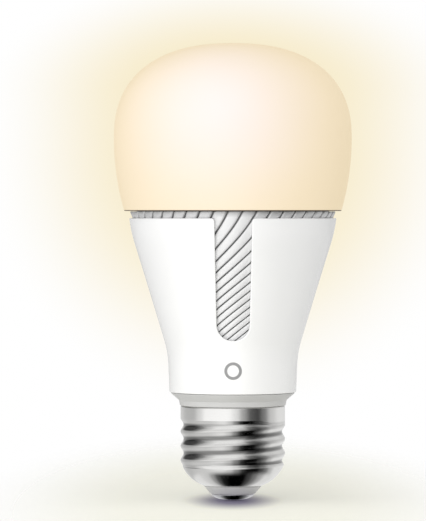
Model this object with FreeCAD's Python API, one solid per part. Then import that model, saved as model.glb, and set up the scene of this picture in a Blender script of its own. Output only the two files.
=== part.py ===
"""A wireless LED light bulb with an E26 screw base, one STEP file for each piece.

Millimetres, +Z up. The origin is the lowest point of the centre contact, on the bulb's axis, and the bulb
stands above it. The front is -Y: the first cooling window faces that way.
"""

import FreeCAD, Part
import math
import os

V = FreeCAD.Vector
AXIS = V(0, 0, 1)
ORIGIN = V(0, 0, 0)

# Heights of the parting lines, from the tip of the centre contact up.
CONTACT_TOP = 1.2  # centre contact meets the insulator
INSULATOR_TOP = 3.4  # insulator meets the screw shell
ROLL_TOP = 8.2  # the shell's rolled end meets its thread
BAND_BOTTOM = 20.3  # thread meets the plain band
SHELL_TOP = 23.6  # screw shell meets the collar
NECK_TOP = 25.0  # collar's straight neck meets its bevel
HOUSING_BOTTOM = 27.0
HOUSING_TOP = 70.9
SINK_BOTTOM = 34.0
SINK_FLARE = 66.0  # the heat sink starts to flare out to its rim
SINK_TOP = 72.6
DIFFUSER_BOTTOM = 72.7
DIFFUSER_WIDEST = 91.0
DIFFUSER_TOP = 115.0

# Radii.
DIFFUSER_R = 30.0
DIFFUSER_MOUTH_R = 27.4
HOUSING_TOP_R = 26.15
COLLAR_R = 15.8
NECK_R = 13.4
SHELL_R = 13.2  # E26 screw shell over its crests and plain band
TIP_R = 5.3
INSULATOR_R = 7.4

# The housing's outline from the top down: heights, and the degrees from upright by which it leans in there.
HOUSING_LEANS = ((HOUSING_TOP, 7.2), (64.3, 17.3), (40.1, 16.7), (33.7, 2.2), (HOUSING_BOTTOM, 1.7))
RIM_LEAN = 24.0  # the heat sink's rim

# Walls and clearances.
HOUSING_WALL = 1.4
DIFFUSER_WALL = 1.4
SHELL_WALL = 0.35
CASE_WALL = 1.1
SINK_WALL = 1.5
LOOSE = 0.1  # gap between pieces that slide together at assembly

# Cooling windows and ribs.
WINDOWS = 3
WINDOW_HALF_TOP = 4.65
WINDOW_HALF_FOOT = 4.1
WINDOW_FOOT = 40.4
WINDOW_CORNER = 0.8
RIBS = 45
RIB_DEPTH = 0.6
RIB_PHASE = -93.0  # degrees, the angle of one groove at the rim
TWIST_RATE = 0.078  # radians per millimetre at the heat sink's foot
TWIST_FADE = 43.7  # height over which the twist would die away
RIB_SECTIONS = 15
RIB_EDGE = 0.14  # share of the pitch taken by a groove's side

# E26 thread: 7 turns to the inch, a rounded wave in thin metal.
THREAD_PITCH = 25.4 / 7
THREAD_WAVE = 0.38  # half the depth from crest to root
THREAD_CREST_Z = 13.4  # height of a crest on the -X side

# Light engine.
PAD_T = 0.2
BOARD_R = 22.6
BOARD_T = 1.6
PLATFORM_BOTTOM = 69.0
PLATFORM_TOP = 71.6
GROOVE_BOTTOM = 71.0
GROOVE_IN_R = 23.1
GROOVE_OUT_R = 24.4
BOARD_BOTTOM = PLATFORM_TOP + PAD_T
BOARD_TOP = BOARD_BOTTOM + BOARD_T
LED_RINGS = ((12, 16.5, 15.0), (6, 9.6, 30.0))  # how many, ring radius, first angle
LED_SIZE = (2.8, 3.5, 0.7)
LED_WINDOW = (2.2, 2.7, 0.12)
SCREW_RING_R = 19.6
SCREW_ANGLES = (90, 210, 330)
SCREW_R, SCREW_HEAD_R, SCREW_HEAD_H = 1.2, 2.2, 1.5

# Driver board, upright in the X-Z plane.
DRIVER_T = 1.2
DRIVER_FOOT, DRIVER_STEP, DRIVER_TOP = 12.5, 36.0, 63.5
DRIVER_HALF_FOOT, DRIVER_HALF_TOP = 8.4, 10.2
FRONT = -DRIVER_T / 2  # the board's front face
BACK = DRIVER_T / 2

# Wireless board, upright, in front of the driver board.
RADIO_T = 1.0
RADIO_HALF = 6.0
RADIO_FRONT_Y = -4.4
RADIO_FOOT, RADIO_TOP = 60.0, 87.0
HEADER_PINS_X = (-1.27, 1.27)
HEADER_PINS_Y = 2.1
PIN_HALF = 0.32


# ---------------------------------------------------------------- outlines


OUTLINE_POINTS = 12


class Outline:
    """A chain of smoothly joined arcs in the r-z half plane, from (r, z of the first station) down.

    Each station is a height and the degrees from upright by which the outline leans in at that height.
    """

    def __init__(self, r, stations):
        self.arcs = []
        for (z, lean), (z_end, lean_end) in zip(stations, stations[1:]):
            sine = math.sin(math.radians(lean))
            radius = (z - z_end) / (math.sin(math.radians(lean_end)) - sine)
            self.arcs.append((z, z_end, r, sine, radius))
            r = self.at(z_end)

    def at(self, z):
        """Radius from the bulb's axis at height z."""
        z_top, _, r, sine, radius = next((a for a in self.arcs if a[1] <= z + 1e-6), self.arcs[-1])
        return r - radius * (math.sqrt(1 - sine**2) - math.sqrt(1 - (sine + (z_top - z) / radius) ** 2))

    def lean(self, z):
        """Degrees from upright at height z."""
        z_top, _, _, sine, radius = next(a for a in self.arcs if a[1] <= z + 1e-6)
        return math.degrees(math.asin(sine + (z_top - z) / radius))

    def edge(self, shift=0.0, top=None, foot=None):
        """The outline as one smooth edge, moved outwards by shift, from height top down to foot."""
        top = self.arcs[0][0] if top is None else top
        foot = self.arcs[-1][1] if foot is None else foot
        heights = [top + (foot - top) * i / (OUTLINE_POINTS - 1) for i in range(OUTLINE_POINTS)]
        curve = Part.BSplineCurve()
        curve.interpolate([V(self.at(z) + shift, 0, z) for z in heights])
        return curve.toShape()


HOUSING = Outline(HOUSING_TOP_R, HOUSING_LEANS)
SINK_INSET = HOUSING_WALL + LOOSE


def flare():
    """The heat sink's outline where it flares from its side, inside the housing, to its rim."""
    lean = HOUSING.lean(SINK_FLARE)
    stations = ((SINK_TOP, RIM_LEAN), (SINK_FLARE, lean))
    start_r = HOUSING.at(SINK_FLARE) - SINK_INSET
    rise = -Outline(0.0, stations).at(SINK_FLARE)
    return Outline(start_r + rise, stations)


FLARE = flare()
SINK_TOP_R_MAX = FLARE.at(SINK_TOP) + 4.0  # blank that the heat sink is cut from


def sink_r(z):
    """Radius over the heat sink's ribs at height z."""
    return FLARE.at(z) if z > SINK_FLARE else HOUSING.at(z) - SINK_INSET


def twist(z):
    """Angle, in degrees, through which a rib has turned at height z, from the heat sink's foot."""
    up = z - SINK_BOTTOM
    return math.degrees(TWIST_RATE * (up - up**3 / (3 * TWIST_FADE**2)))


def line(a, b):
    return Part.LineSegment(V(a[0], 0, a[1]), V(b[0], 0, b[1])).toShape()


def path(*points):
    """Straight edges through (r, z) points."""
    return [line(a, b) for a, b in zip(points, points[1:])]


def spin(edges):
    """The solid that a closed chain of edges in the X-Z plane sweeps round the bulb's axis."""
    wire = Part.Wire(Part.__sortEdges__(edges))
    return Part.Face(wire).revolve(ORIGIN, AXIS, 360)


def polygon(*points):
    """The solid that a closed polygon of (r, z) points sweeps round the bulb's axis."""
    return spin(path(*points, points[0]))


def ring(r_in, r_out, z_low, z_high):
    outer = Part.makeCylinder(r_out, z_high - z_low, V(0, 0, z_low))
    if r_in == 0:
        return outer
    return outer.cut(Part.makeCylinder(r_in, z_high - z_low, V(0, 0, z_low)))


def block(x, y, z):
    """A box from three (low, high) pairs."""
    return Part.makeBox(x[1] - x[0], y[1] - y[0], z[1] - z[0], V(x[0], y[0], z[0]))


def turned(shape, degrees):
    copy = shape.copy()
    copy.rotate(ORIGIN, AXIS, degrees)
    return copy


def on_ring(radius, degrees, z=0.0):
    angle = math.radians(degrees)
    return V(radius * math.cos(angle), radius * math.sin(angle), z)


def group(shapes):
    return Part.makeCompound(shapes)


# ---------------------------------------------------------------- outer pieces


DOME_POWER = 2.37  # a superellipse, squarer than an ellipse
DOME_POINTS = 9


def dome_edge(radius, top):
    """The dome's outline from its widest point to its crown."""
    height = top - DIFFUSER_WIDEST
    points = []
    for i in range(DOME_POINTS):
        angle = i / (DOME_POINTS - 1) * math.pi / 2
        r = radius * math.cos(angle) ** (2 / DOME_POWER) if i < DOME_POINTS - 1 else 0.0
        z = DIFFUSER_WIDEST + height * math.sin(angle) ** (2 / DOME_POWER)
        points.append(V(r, 0, z))
    curve = Part.BSplineCurve()
    curve.interpolate(Points=points, InitialTangent=V(0, 0, 1), FinalTangent=V(-1, 0, 0))
    return curve.toShape()


def skirt_arc(inset):
    """The diffuser's side below its widest point, moved inwards by inset."""
    drop = DIFFUSER_WIDEST - DIFFUSER_BOTTOM
    narrowing = DIFFUSER_R - DIFFUSER_MOUTH_R
    radius = (drop**2 + narrowing**2) / (2 * narrowing)
    lean = math.degrees(math.asin(drop / radius))
    return Outline(DIFFUSER_R - inset, ((DIFFUSER_WIDEST, 0.0), (DIFFUSER_BOTTOM, lean)))


def diffuser():
    """Frosted dome, open below, with an inward ledge and a skirt that drops into the heat sink's groove."""
    ledge_top = DIFFUSER_BOTTOM + 1.6
    skirt_out, skirt_in = GROOVE_OUT_R - 0.2, GROOVE_IN_R + 0.2
    skirt_foot = GROOVE_BOTTOM + 0.4
    outer, inner = skirt_arc(0.0), skirt_arc(DIFFUSER_WALL)
    crown = (0, DIFFUSER_TOP)
    inner_crown = (0, DIFFUSER_TOP - DIFFUSER_WALL)
    edges = [
        dome_edge(DIFFUSER_R, DIFFUSER_TOP),
        line(crown, inner_crown),
        dome_edge(DIFFUSER_R - DIFFUSER_WALL, DIFFUSER_TOP - DIFFUSER_WALL),
        inner.edge(foot=ledge_top),
        *path(
            (inner.at(ledge_top), ledge_top),
            (skirt_in, ledge_top),
            (skirt_in, skirt_foot),
            (skirt_out, skirt_foot),
            (skirt_out, DIFFUSER_BOTTOM),
            (outer.at(DIFFUSER_BOTTOM), DIFFUSER_BOTTOM),
        ),
        outer.edge(),
    ]
    return spin(edges)


def diffuser_adhesive():
    """Ring of silicone in the heat sink's groove, under the diffuser's skirt."""
    return ring(GROOVE_IN_R + 0.05, GROOVE_OUT_R - 0.05, GROOVE_BOTTOM, GROOVE_BOTTOM + 0.4)


def rib_edge(share, depth):
    """Edge along a rib, a share of the way from its first groove to the next, sunk by depth."""
    span = SINK_TOP - SINK_BOTTOM
    points = []
    for i in range(RIB_SECTIONS):
        z = SINK_BOTTOM + span * i / (RIB_SECTIONS - 1)
        angle = RIB_PHASE + twist(z) - twist(SINK_TOP) + share * 360 / RIBS
        points.append(on_ring(sink_r(z) - depth, angle, z))
    curve = Part.BSplineCurve()
    curve.interpolate(points)
    return curve.toShape()


def ribbed_side():
    """The four faces of each rib, and the closed outlines of the side's foot and top."""
    lines = [(0, RIB_DEPTH), (RIB_EDGE, 0.06), (0.5, 0), (1 - RIB_EDGE, 0.06), (1, RIB_DEPTH)]
    edges = [rib_edge(share, depth) for share, depth in lines]
    strips = [Part.makeRuledSurface(a, b, 1) for a, b in zip(edges, edges[1:])]
    side = [turned(strip, 360 / RIBS * i) for i in range(RIBS) for strip in strips]
    rims = []
    for end in (0, -1):
        corners = []
        for i in range(RIBS):
            for edge in edges[:-1]:
                points = sorted((v.Point for v in edge.Vertexes), key=lambda point: point.z)
                corners.append(turned(Part.Vertex(points[end]), 360 / RIBS * i).Point)
        rims.append(Part.makePolygon(corners + corners[:1]))
    return side, rims


def heat_sink():
    """Aluminium cup, open below: twisted ribs outside, a platform for the light board on top."""
    inset = -(SINK_INSET + RIB_DEPTH + SINK_WALL)
    top_r = HOUSING.at(SINK_FLARE) + inset
    foot_r = HOUSING.at(SINK_BOTTOM) + inset
    cavity = spin(
        [
            *path((0, SINK_BOTTOM), (foot_r, SINK_BOTTOM)),
            HOUSING.edge(inset, SINK_FLARE, SINK_BOTTOM),
            *path((top_r, SINK_FLARE), (top_r, PLATFORM_BOTTOM), (0, PLATFORM_BOTTOM), (0, SINK_BOTTOM)),
        ]
    )
    recess = ring(0, GROOVE_OUT_R, PLATFORM_TOP, SINK_TOP + 1)
    groove = ring(GROOVE_IN_R, GROOVE_OUT_R, GROOVE_BOTTOM, PLATFORM_TOP + 0.1)
    passage = block((-7.0, 7.0), (-5.4, 4.2), (PLATFORM_BOTTOM - 1, PLATFORM_TOP + 1))
    tools = [cavity, recess, groove, passage]
    for degrees in SCREW_ANGLES:
        start = on_ring(SCREW_RING_R, degrees, PLATFORM_BOTTOM - 1)
        tools.append(Part.makeCylinder(SCREW_R + 0.05, 5, start))
    # Everything inside is cut from a round blank, whose outer face then gives way to the ribbed side.
    blank_r = SINK_TOP_R_MAX
    blank = ring(0, blank_r, SINK_BOTTOM, SINK_TOP).cut(tools)
    side, rims = ribbed_side()
    faces = list(side)
    for face in blank.Faces:
        box = face.BoundBox
        if box.XLength < 2 * blank_r - 0.1:
            faces.append(face)
        elif box.ZLength < 0.01:
            rim = rims[0] if box.ZMin < SINK_FLARE else rims[1]
            hole = min(face.Wires, key=lambda wire: wire.BoundBox.XLength)
            faces.append(Part.makeFace([rim, hole], "Part::FaceMakerBullseye"))
    shell = Part.makeShell(faces)
    shell.sewShape(1e-4)
    return Part.makeSolid(shell if shell.ShapeType == "Shell" else shell.Shells[0])


def window_tool():
    """What a cooling window removes: a U in the front view, pushed through the front wall."""
    foot_arc_z = WINDOW_FOOT + WINDOW_HALF_FOOT
    top, corner = HOUSING_TOP, WINDOW_CORNER
    right = [
        V(WINDOW_HALF_FOOT, 0, foot_arc_z),
        V(WINDOW_HALF_TOP, 0, top - corner),
        V(WINDOW_HALF_TOP + corner, 0, top),
        V(WINDOW_HALF_TOP + corner, 0, top + 1),
    ]
    left = [V(-p.x, 0, p.z) for p in right]
    slope = corner * (1 - math.sqrt(0.5))
    edges = [
        Part.Arc(left[0], V(0, 0, WINDOW_FOOT), right[0]).toShape(),
        Part.LineSegment(right[0], right[1]).toShape(),
        Part.Arc(right[1], V(WINDOW_HALF_TOP + slope, 0, top - slope), right[2]).toShape(),
        Part.LineSegment(right[2], right[3]).toShape(),
        Part.LineSegment(right[3], left[3]).toShape(),
        Part.LineSegment(left[3], left[2]).toShape(),
        Part.Arc(left[2], V(-WINDOW_HALF_TOP - slope, 0, top - slope), left[1]).toShape(),
        Part.LineSegment(left[1], left[0]).toShape(),
    ]
    return Part.Face(Part.Wire(edges)).extrude(V(0, -DIFFUSER_R, 0))


def housing_shell():
    """White plastic skirt over the heat sink, with three U-shaped cooling windows open at the top."""
    foot_r = HOUSING.at(HOUSING_BOTTOM)
    top_in = FLARE.at(HOUSING_TOP) + LOOSE
    body = spin(
        [
            HOUSING.edge(),
            line((foot_r, HOUSING_BOTTOM), (foot_r - HOUSING_WALL, HOUSING_BOTTOM)),
            HOUSING.edge(-HOUSING_WALL, SINK_FLARE),
            FLARE.edge(LOOSE, HOUSING_TOP),
            line((top_in, HOUSING_TOP), (HOUSING_TOP_R, HOUSING_TOP)),
        ]
    )
    tool = window_tool()
    for i in range(WINDOWS):
        body = body.cut(turned(tool, 360 / WINDOWS * i))
    return body


def driver_case():
    """Insulating case: a sleeve in the heat sink, the collar under the housing and the spigot for the cap."""
    gap = -(SINK_INSET + RIB_DEPTH + SINK_WALL + LOOSE)
    inner = gap - CASE_WALL
    sleeve_top = SINK_FLARE - 1
    shoulder = SINK_BOTTOM - 0.3
    seat_r = HOUSING.at(HOUSING_BOTTOM) - HOUSING_WALL - LOOSE
    spigot_r = SHELL_R - 2 * THREAD_WAVE - SHELL_WALL - LOOSE
    spigot_foot = ROLL_TOP + 1.3
    floor = HOUSING_BOTTOM - 0.1
    outline = [
        HOUSING.edge(gap, sleeve_top, shoulder),
        line((HOUSING.at(shoulder) + gap, shoulder), (HOUSING.at(shoulder) - SINK_INSET, shoulder)),
        HOUSING.edge(-SINK_INSET, shoulder),
        *path(
            (seat_r, HOUSING_BOTTOM),
            (seat_r, floor),
            (COLLAR_R, floor),
            (NECK_R + 0.1, NECK_TOP),
            (NECK_R, SHELL_TOP + 0.02),
            (spigot_r, SHELL_TOP + 0.02),
            (spigot_r, spigot_foot),
            (spigot_r - CASE_WALL, spigot_foot),
            (spigot_r - CASE_WALL, SINK_BOTTOM),
            (HOUSING.at(SINK_BOTTOM) + inner, SINK_BOTTOM),
        ),
        HOUSING.edge(inner, sleeve_top, SINK_BOTTOM),
        line((HOUSING.at(sleeve_top) + inner, sleeve_top), (HOUSING.at(sleeve_top) + gap, sleeve_top)),
    ]
    return spin(outline)


def thread_core(inset):
    """Solid whose every level is a disc set off from the axis: its side is the rounded thread."""
    low, high = INSULATOR_TOP - 1, BAND_BOTTOM
    height = high - low
    helix = Part.makeHelix(THREAD_PITCH, height, THREAD_WAVE)
    radius = SHELL_R - THREAD_WAVE - inset
    disc = Part.Wire(Part.makeCircle(radius, V(THREAD_WAVE, 0, 0)))
    pipe = Part.BRepOffsetAPI.MakePipeShell(Part.Wire(helix.Edges))
    pipe.setTrihedronMode(ORIGIN, AXIS)
    pipe.add(disc)
    pipe.build()
    pipe.makeSolid()
    solid = pipe.shape()
    solid.translate(V(0, 0, low))
    crest_turn = 180 + (low - THREAD_CREST_Z) / THREAD_PITCH * 360
    return turned(solid, crest_turn)


def cap_solid(inset):
    """The screw cap's outer form as a full solid, moved inwards by inset."""
    band_r = SHELL_R - inset
    root_r = SHELL_R - 2 * THREAD_WAVE - inset
    roll_r = root_r + 0.25
    foot_r = INSULATOR_R - inset
    middle = V((roll_r + foot_r) / 2 + 0.75, 0, (ROLL_TOP + INSULATOR_TOP) / 2 - 0.45)
    band = polygon(
        (0, BAND_BOTTOM - 1.2),
        (root_r, BAND_BOTTOM - 1.2),
        (band_r, BAND_BOTTOM),
        (band_r, SHELL_TOP),
        (0, SHELL_TOP),
    )
    roll = spin(
        [
            *path((0, ROLL_TOP + 1.0), (roll_r - 0.1, ROLL_TOP + 1.0), (roll_r, ROLL_TOP)),
            Part.Arc(V(roll_r, 0, ROLL_TOP), middle, V(foot_r, 0, INSULATOR_TOP)).toShape(),
            *path((foot_r, INSULATOR_TOP), (0, INSULATOR_TOP), (0, ROLL_TOP + 1.0)),
        ]
    )
    limit = polygon(
        (0, ROLL_TOP),
        (roll_r, ROLL_TOP),
        (band_r + 0.1, ROLL_TOP + 1.2),
        (band_r + 0.1, BAND_BOTTOM + 1),
        (0, BAND_BOTTOM + 1),
    )
    return thread_core(inset).common(limit).fuse([band, roll])


def screw_shell():
    """E26 screw cap in thin plated metal: plain band, rounded thread, and a rolled end round the insulator."""
    solid = cap_solid(0.0).cut(cap_solid(SHELL_WALL))
    mouth = ring(0, SHELL_R - SHELL_WALL, SHELL_TOP - 0.5, SHELL_TOP + 1)
    hole = ring(0, INSULATOR_R - SHELL_WALL, INSULATOR_TOP - 1, INSULATOR_TOP + 0.3)
    return solid.cut([mouth, hole])


def base_insulator():
    """Moulded insulator in the cap's rolled end, with a hole for the contact's stem."""
    inside = INSULATOR_R - SHELL_WALL - 0.05
    return polygon(
        (1.0, CONTACT_TOP),
        (TIP_R, CONTACT_TOP),
        (TIP_R + 0.3, CONTACT_TOP + 0.3),
        (INSULATOR_R - 0.05, INSULATOR_TOP - 0.05),
        (inside, INSULATOR_TOP),
        (inside, INSULATOR_TOP + 0.4),
        (8.0, 5.4),
        (8.0, 6.4),
        (3.0, 6.4),
        (3.0, 5.4),
        (1.0, 5.4),
    )


def tip_contact():
    """Centre contact: a low dome with a flat at its lowest point, and a stem riveted over inside."""
    rim = V(TIP_R, 0, CONTACT_TOP)
    flat = V(2.4, 0, 0)
    return spin(
        [
            line((0, 0), (flat.x, 0)),
            Part.Arc(flat, V(4.35, 0, 0.34), V(TIP_R - 0.05, 0, CONTACT_TOP - 0.25)).toShape(),
            *path(
                (TIP_R - 0.05, CONTACT_TOP - 0.25),
                (rim.x, rim.z),
                (0.9, CONTACT_TOP),
                (0.9, 5.4),
                (1.7, 5.4),
                (1.4, 6.0),
                (0, 6.0),
                (0, 0),
            ),
        ]
    )


# ---------------------------------------------------------------- light engine


def led_places():
    """(x, y, angle) of each light-emitting package."""
    for count, radius, first in LED_RINGS:
        for i in range(count):
            degrees = first + 360 / count * i
            place = on_ring(radius, degrees)
            yield place.x, place.y, degrees


def board_block(size, z):
    """A block of (x, y, z) size standing on height z, centred on the axis."""
    return block((-size[0] / 2, size[0] / 2), (-size[1] / 2, size[1] / 2), (z, z + size[2]))


def at_leds(shape):
    found = []
    for x, y, degrees in led_places():
        copy = turned(shape, degrees)
        copy.translate(V(x, y, 0))
        found.append(copy)
    return group(found)


def radio_slot(z_low, z_high):
    return block(
        (-RADIO_HALF - 0.2, RADIO_HALF + 0.2),
        (RADIO_FRONT_Y - 0.2, RADIO_FRONT_Y + RADIO_T + 0.2),
        (z_low, z_high),
    )


def led_board():
    """Round metal-core board with holes for the screws and header pins and a slot for the radio board."""
    board = ring(0, BOARD_R, BOARD_BOTTOM, BOARD_TOP)
    low, high = BOARD_BOTTOM - 1, BOARD_TOP + 1
    tools = [radio_slot(low, high)]
    tools += [Part.makeCylinder(0.6, 4, V(x, HEADER_PINS_Y, low)) for x in HEADER_PINS_X]
    tools += [Part.makeCylinder(SCREW_R + 0.2, 4, on_ring(SCREW_RING_R, a, low)) for a in SCREW_ANGLES]
    return board.cut(tools)


def thermal_pad():
    """Grey heat-conducting sheet between the light board and the platform."""
    pad = ring(0, BOARD_R - 0.4, PLATFORM_TOP, BOARD_BOTTOM)
    tools = [block((-7.2, 7.2), (-5.6, 4.4), (PLATFORM_TOP - 1, BOARD_BOTTOM + 1))]
    for degrees in SCREW_ANGLES:
        tools.append(Part.makeCylinder(SCREW_R + 0.6, 3, on_ring(SCREW_RING_R, degrees, PLATFORM_TOP - 1)))
    return pad.cut(tools)


def led_packages():
    """White packages of the emitters, each with a shallow window for its phosphor."""
    body = board_block(LED_SIZE, BOARD_TOP)
    window = board_block(LED_WINDOW, BOARD_TOP + LED_SIZE[2] - LED_WINDOW[2])
    return at_leds(body.cut(window))


def led_phosphors():
    """Yellow phosphor filling the window of each emitter."""
    height = LED_WINDOW[2] - 0.02
    size = (LED_WINDOW[0], LED_WINDOW[1], height)
    return at_leds(board_block(size, BOARD_TOP + LED_SIZE[2] - LED_WINDOW[2]))


def board_screws():
    """Cross-head screws that clamp the light board to the heat sink."""
    shank_foot = PLATFORM_BOTTOM + 0.2
    cross_depth = 0.8
    screws = []
    for degrees in SCREW_ANGLES:
        shank = Part.makeCylinder(SCREW_R, BOARD_TOP - shank_foot, V(0, 0, shank_foot))
        head = Part.makeCylinder(SCREW_HEAD_R, SCREW_HEAD_H, V(0, 0, BOARD_TOP))
        head = head.makeFillet(0.5, [e for e in head.Edges if e.BoundBox.ZMin > BOARD_TOP + 1])
        top = BOARD_TOP + SCREW_HEAD_H
        cross = board_block((2.6, 0.55, 1), top - cross_depth)
        screw = shank.fuse(head).cut([cross, turned(cross, 90)])
        screw.translate(on_ring(SCREW_RING_R, degrees))
        screws.append(screw)
    return group(screws)


def board_connector():
    """White socket on the light board that takes the two header pins."""
    body = block((-3.4, 3.4), (HEADER_PINS_Y - 1.9, HEADER_PINS_Y + 1.9), (BOARD_TOP, BOARD_TOP + 3.4))
    tools = [
        block(
            (x - PIN_HALF - 0.05, x + PIN_HALF + 0.05),
            (HEADER_PINS_Y - PIN_HALF - 0.05, HEADER_PINS_Y + PIN_HALF + 0.05),
            (BOARD_TOP - 1, BOARD_TOP + 2.8),
        )
        for x in HEADER_PINS_X
    ]
    return body.cut(tools)


# ---------------------------------------------------------------- wireless board


def radio_board():
    """Upright board: the radio below the platform, the antenna above the light board."""
    y = (RADIO_FRONT_Y, RADIO_FRONT_Y + RADIO_T)
    return block((-RADIO_HALF, RADIO_HALF), y, (RADIO_FOOT, RADIO_TOP))


def radio_shield():
    """Thin metal can over the radio chip, open towards the board."""
    face = RADIO_FRONT_Y
    outer = block((-4.6, 4.6), (face - 1.5, face), (61.0, 68.0))
    inner = block((-4.4, 4.4), (face - 1.3, face), (61.2, 67.8))
    return outer.cut(inner)


def radio_chip():
    """The radio's main chip, under the shield."""
    return block((-2.0, 2.0), (RADIO_FRONT_Y - 0.85, RADIO_FRONT_Y), (62.4, 66.4))


def antenna():
    """Meandering antenna strip on the radio board's upper end."""
    face = RADIO_FRONT_Y
    thickness, width, step, reach = 0.1, 0.6, 1.7, 4.6
    foot = 76.2
    feed = block((-width / 2, width / 2), (face - thickness, face), (BOARD_TOP + 0.4, foot + width))
    strip = feed
    for i in range(6):
        z = foot + i * step
        strip = strip.fuse(block((-reach, reach), (face - thickness, face), (z, z + width)))
        side = reach - width if i % 2 else -reach
        if i < 5:
            strip = strip.fuse(block((side, side + width), (face - thickness, face), (z, z + step + width)))
    return strip.removeSplitter()


def radio_header():
    """Black strip that stands the radio board off the driver board."""
    return block((-5.0, 5.0), (RADIO_FRONT_Y + RADIO_T, FRONT), (60.4, 62.9))


# ---------------------------------------------------------------- driver


def driver_board():
    """Upright board, narrow where it enters the screw cap."""
    foot = block((-DRIVER_HALF_FOOT, DRIVER_HALF_FOOT), (FRONT, BACK), (DRIVER_FOOT, DRIVER_STEP))
    top = block((-DRIVER_HALF_TOP, DRIVER_HALF_TOP), (FRONT, BACK), (DRIVER_STEP, DRIVER_TOP))
    return foot.fuse(top).removeSplitter()


def header_block():
    """Black block on the driver board that holds the two light-board pins."""
    body = block((-2.8, 2.8), (BACK, HEADER_PINS_Y + 1.3), (60.8, 63.4))
    return body.cut(header_pins())


def header_pins():
    """Square pins that carry the current up to the light board."""
    return group(
        [
            block(
                (x - PIN_HALF, x + PIN_HALF),
                (HEADER_PINS_Y - PIN_HALF, HEADER_PINS_Y + PIN_HALF),
                (59.6, BOARD_TOP + 2.6),
            )
            for x in HEADER_PINS_X
        ]
    )


CAN_SLEEVE = 0.15
# x of the axis, can radius, foot and top of each electrolytic capacitor.
INPUT_CAN = (0.0, 3.9, 22.0, 34.5)
OUTPUT_CAN = (-5.3, 4.8, 45.0, 59.4)


def can_y(radius):
    return FRONT - 0.3 - CAN_SLEEVE - radius


def capacitor_can(can):
    """Aluminium can with a rounded rim, a rolled groove near its foot and a scored vent on top."""
    x, radius, foot, top = can
    body = Part.makeCylinder(radius, top - foot)
    body = body.makeFillet(0.5, [e for e in body.Edges if e.BoundBox.ZMin > 1])
    groove = Part.makeTorus(radius + 0.15, 0.5, V(0, 0, 1.8))
    height = top - foot
    score = board_block((radius * 1.3, 0.25, 1), height - 0.2)
    body = body.cut([groove, score, turned(score, 90)])
    body.translate(V(x, can_y(radius), foot))
    return body


def capacitor_sleeve(can):
    """Shrunk plastic sleeve round the can, turned in over its rim."""
    x, radius, foot, top = can
    outer = radius + CAN_SLEEVE
    sleeve = ring(radius + 0.01, outer, 2.6, top - foot - 0.6)
    lip = ring(radius - 0.9, outer, top - foot + 0.01, top - foot + 0.01 + CAN_SLEEVE)
    sleeve = sleeve.fuse([ring(radius + 0.01, outer, top - foot - 0.7, top - foot + 0.05), lip])
    sleeve.translate(V(x, can_y(radius), foot))
    return sleeve.removeSplitter()


TRANSFORMER_X = (0.4, 9.2)
TRANSFORMER_Z = (46.0, 57.0)
TRANSFORMER_Y = (FRONT - 9.2, FRONT - 0.6)


def transformer_core():
    """Two ferrite E halves: outer legs and end plates round the winding."""
    x, z = TRANSFORMER_X, TRANSFORMER_Z
    y = (TRANSFORMER_Y[0] + 1.6, TRANSFORMER_Y[1] - 1.6)
    whole = block(x, y, z)
    opening = block((x[0] + 1.5, x[1] - 1.5), (y[0] - 1, y[1] + 1), (z[0] + 1.8, z[1] - 1.8))
    middle = sum(x) / 2
    leg = block((middle - 1.2, middle + 1.2), y, z)
    return whole.cut(opening).fuse(leg).removeSplitter()


def transformer_bobbin():
    """Bobbin: a tube round the core's middle leg with a flange at each end."""
    x, z = TRANSFORMER_X, TRANSFORMER_Z
    middle_x, middle_y = sum(x) / 2, sum(TRANSFORMER_Y) / 2
    half_y = (TRANSFORMER_Y[1] - TRANSFORMER_Y[0]) / 2 - 1.6
    low, high = z[0] + 1.85, z[1] - 1.85
    tube = block((-1.7, 1.7), (-half_y - 0.5, half_y + 0.5), (low, high))
    flange_x, flange_y = (-2.85, 2.85), (-half_y - 1.55, half_y + 1.55)
    flanges = [block(flange_x, flange_y, (at, at + 0.6)) for at in (low, high - 0.6)]
    hole = block((-1.25, 1.25), (-half_y - 0.05, half_y + 0.05), (low - 1, high + 1))
    bobbin = tube.fuse(flanges).cut(hole)
    bobbin.translate(V(middle_x, middle_y, 0))
    return bobbin


def transformer_winding():
    """Taped winding round the bobbin's tube, between its flanges."""
    x, z = TRANSFORMER_X, TRANSFORMER_Z
    half_y = (TRANSFORMER_Y[1] - TRANSFORMER_Y[0]) / 2 - 1.6
    low, high = z[0] + 2.5, z[1] - 2.5
    outer = block((-2.8, 2.8), (-half_y - 1.4, half_y + 1.4), (low, high))
    outer = outer.makeFillet(0.9, [e for e in outer.Edges if e.Length > high - low - 0.01 and is_upright(e)])
    hole = block((-1.75, 1.75), (-half_y - 0.55, half_y + 0.55), (low - 1, high + 1))
    winding = outer.cut(hole)
    winding.translate(V(sum(x) / 2, sum(TRANSFORMER_Y) / 2, 0))
    return winding


def is_upright(edge):
    box = edge.BoundBox
    return box.XLength < 1e-6 and box.YLength < 1e-6


CHOKE_X, CHOKE_Y, CHOKE_R = 4.4, FRONT - 0.5 - 3.3, 3.3
CHOKE_Z = (36.2, 44.2)


def choke_core():
    """Ferrite drum of the input choke: a thin waist between two flanges."""
    low, high = CHOKE_Z
    drum = polygon(
        (0, low),
        (CHOKE_R, low),
        (CHOKE_R, low + 1.2),
        (1.5, low + 1.2),
        (1.5, high - 1.2),
        (CHOKE_R, high - 1.2),
        (CHOKE_R, high),
        (0, high),
    )
    drum.translate(V(CHOKE_X, CHOKE_Y, 0))
    return drum


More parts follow.
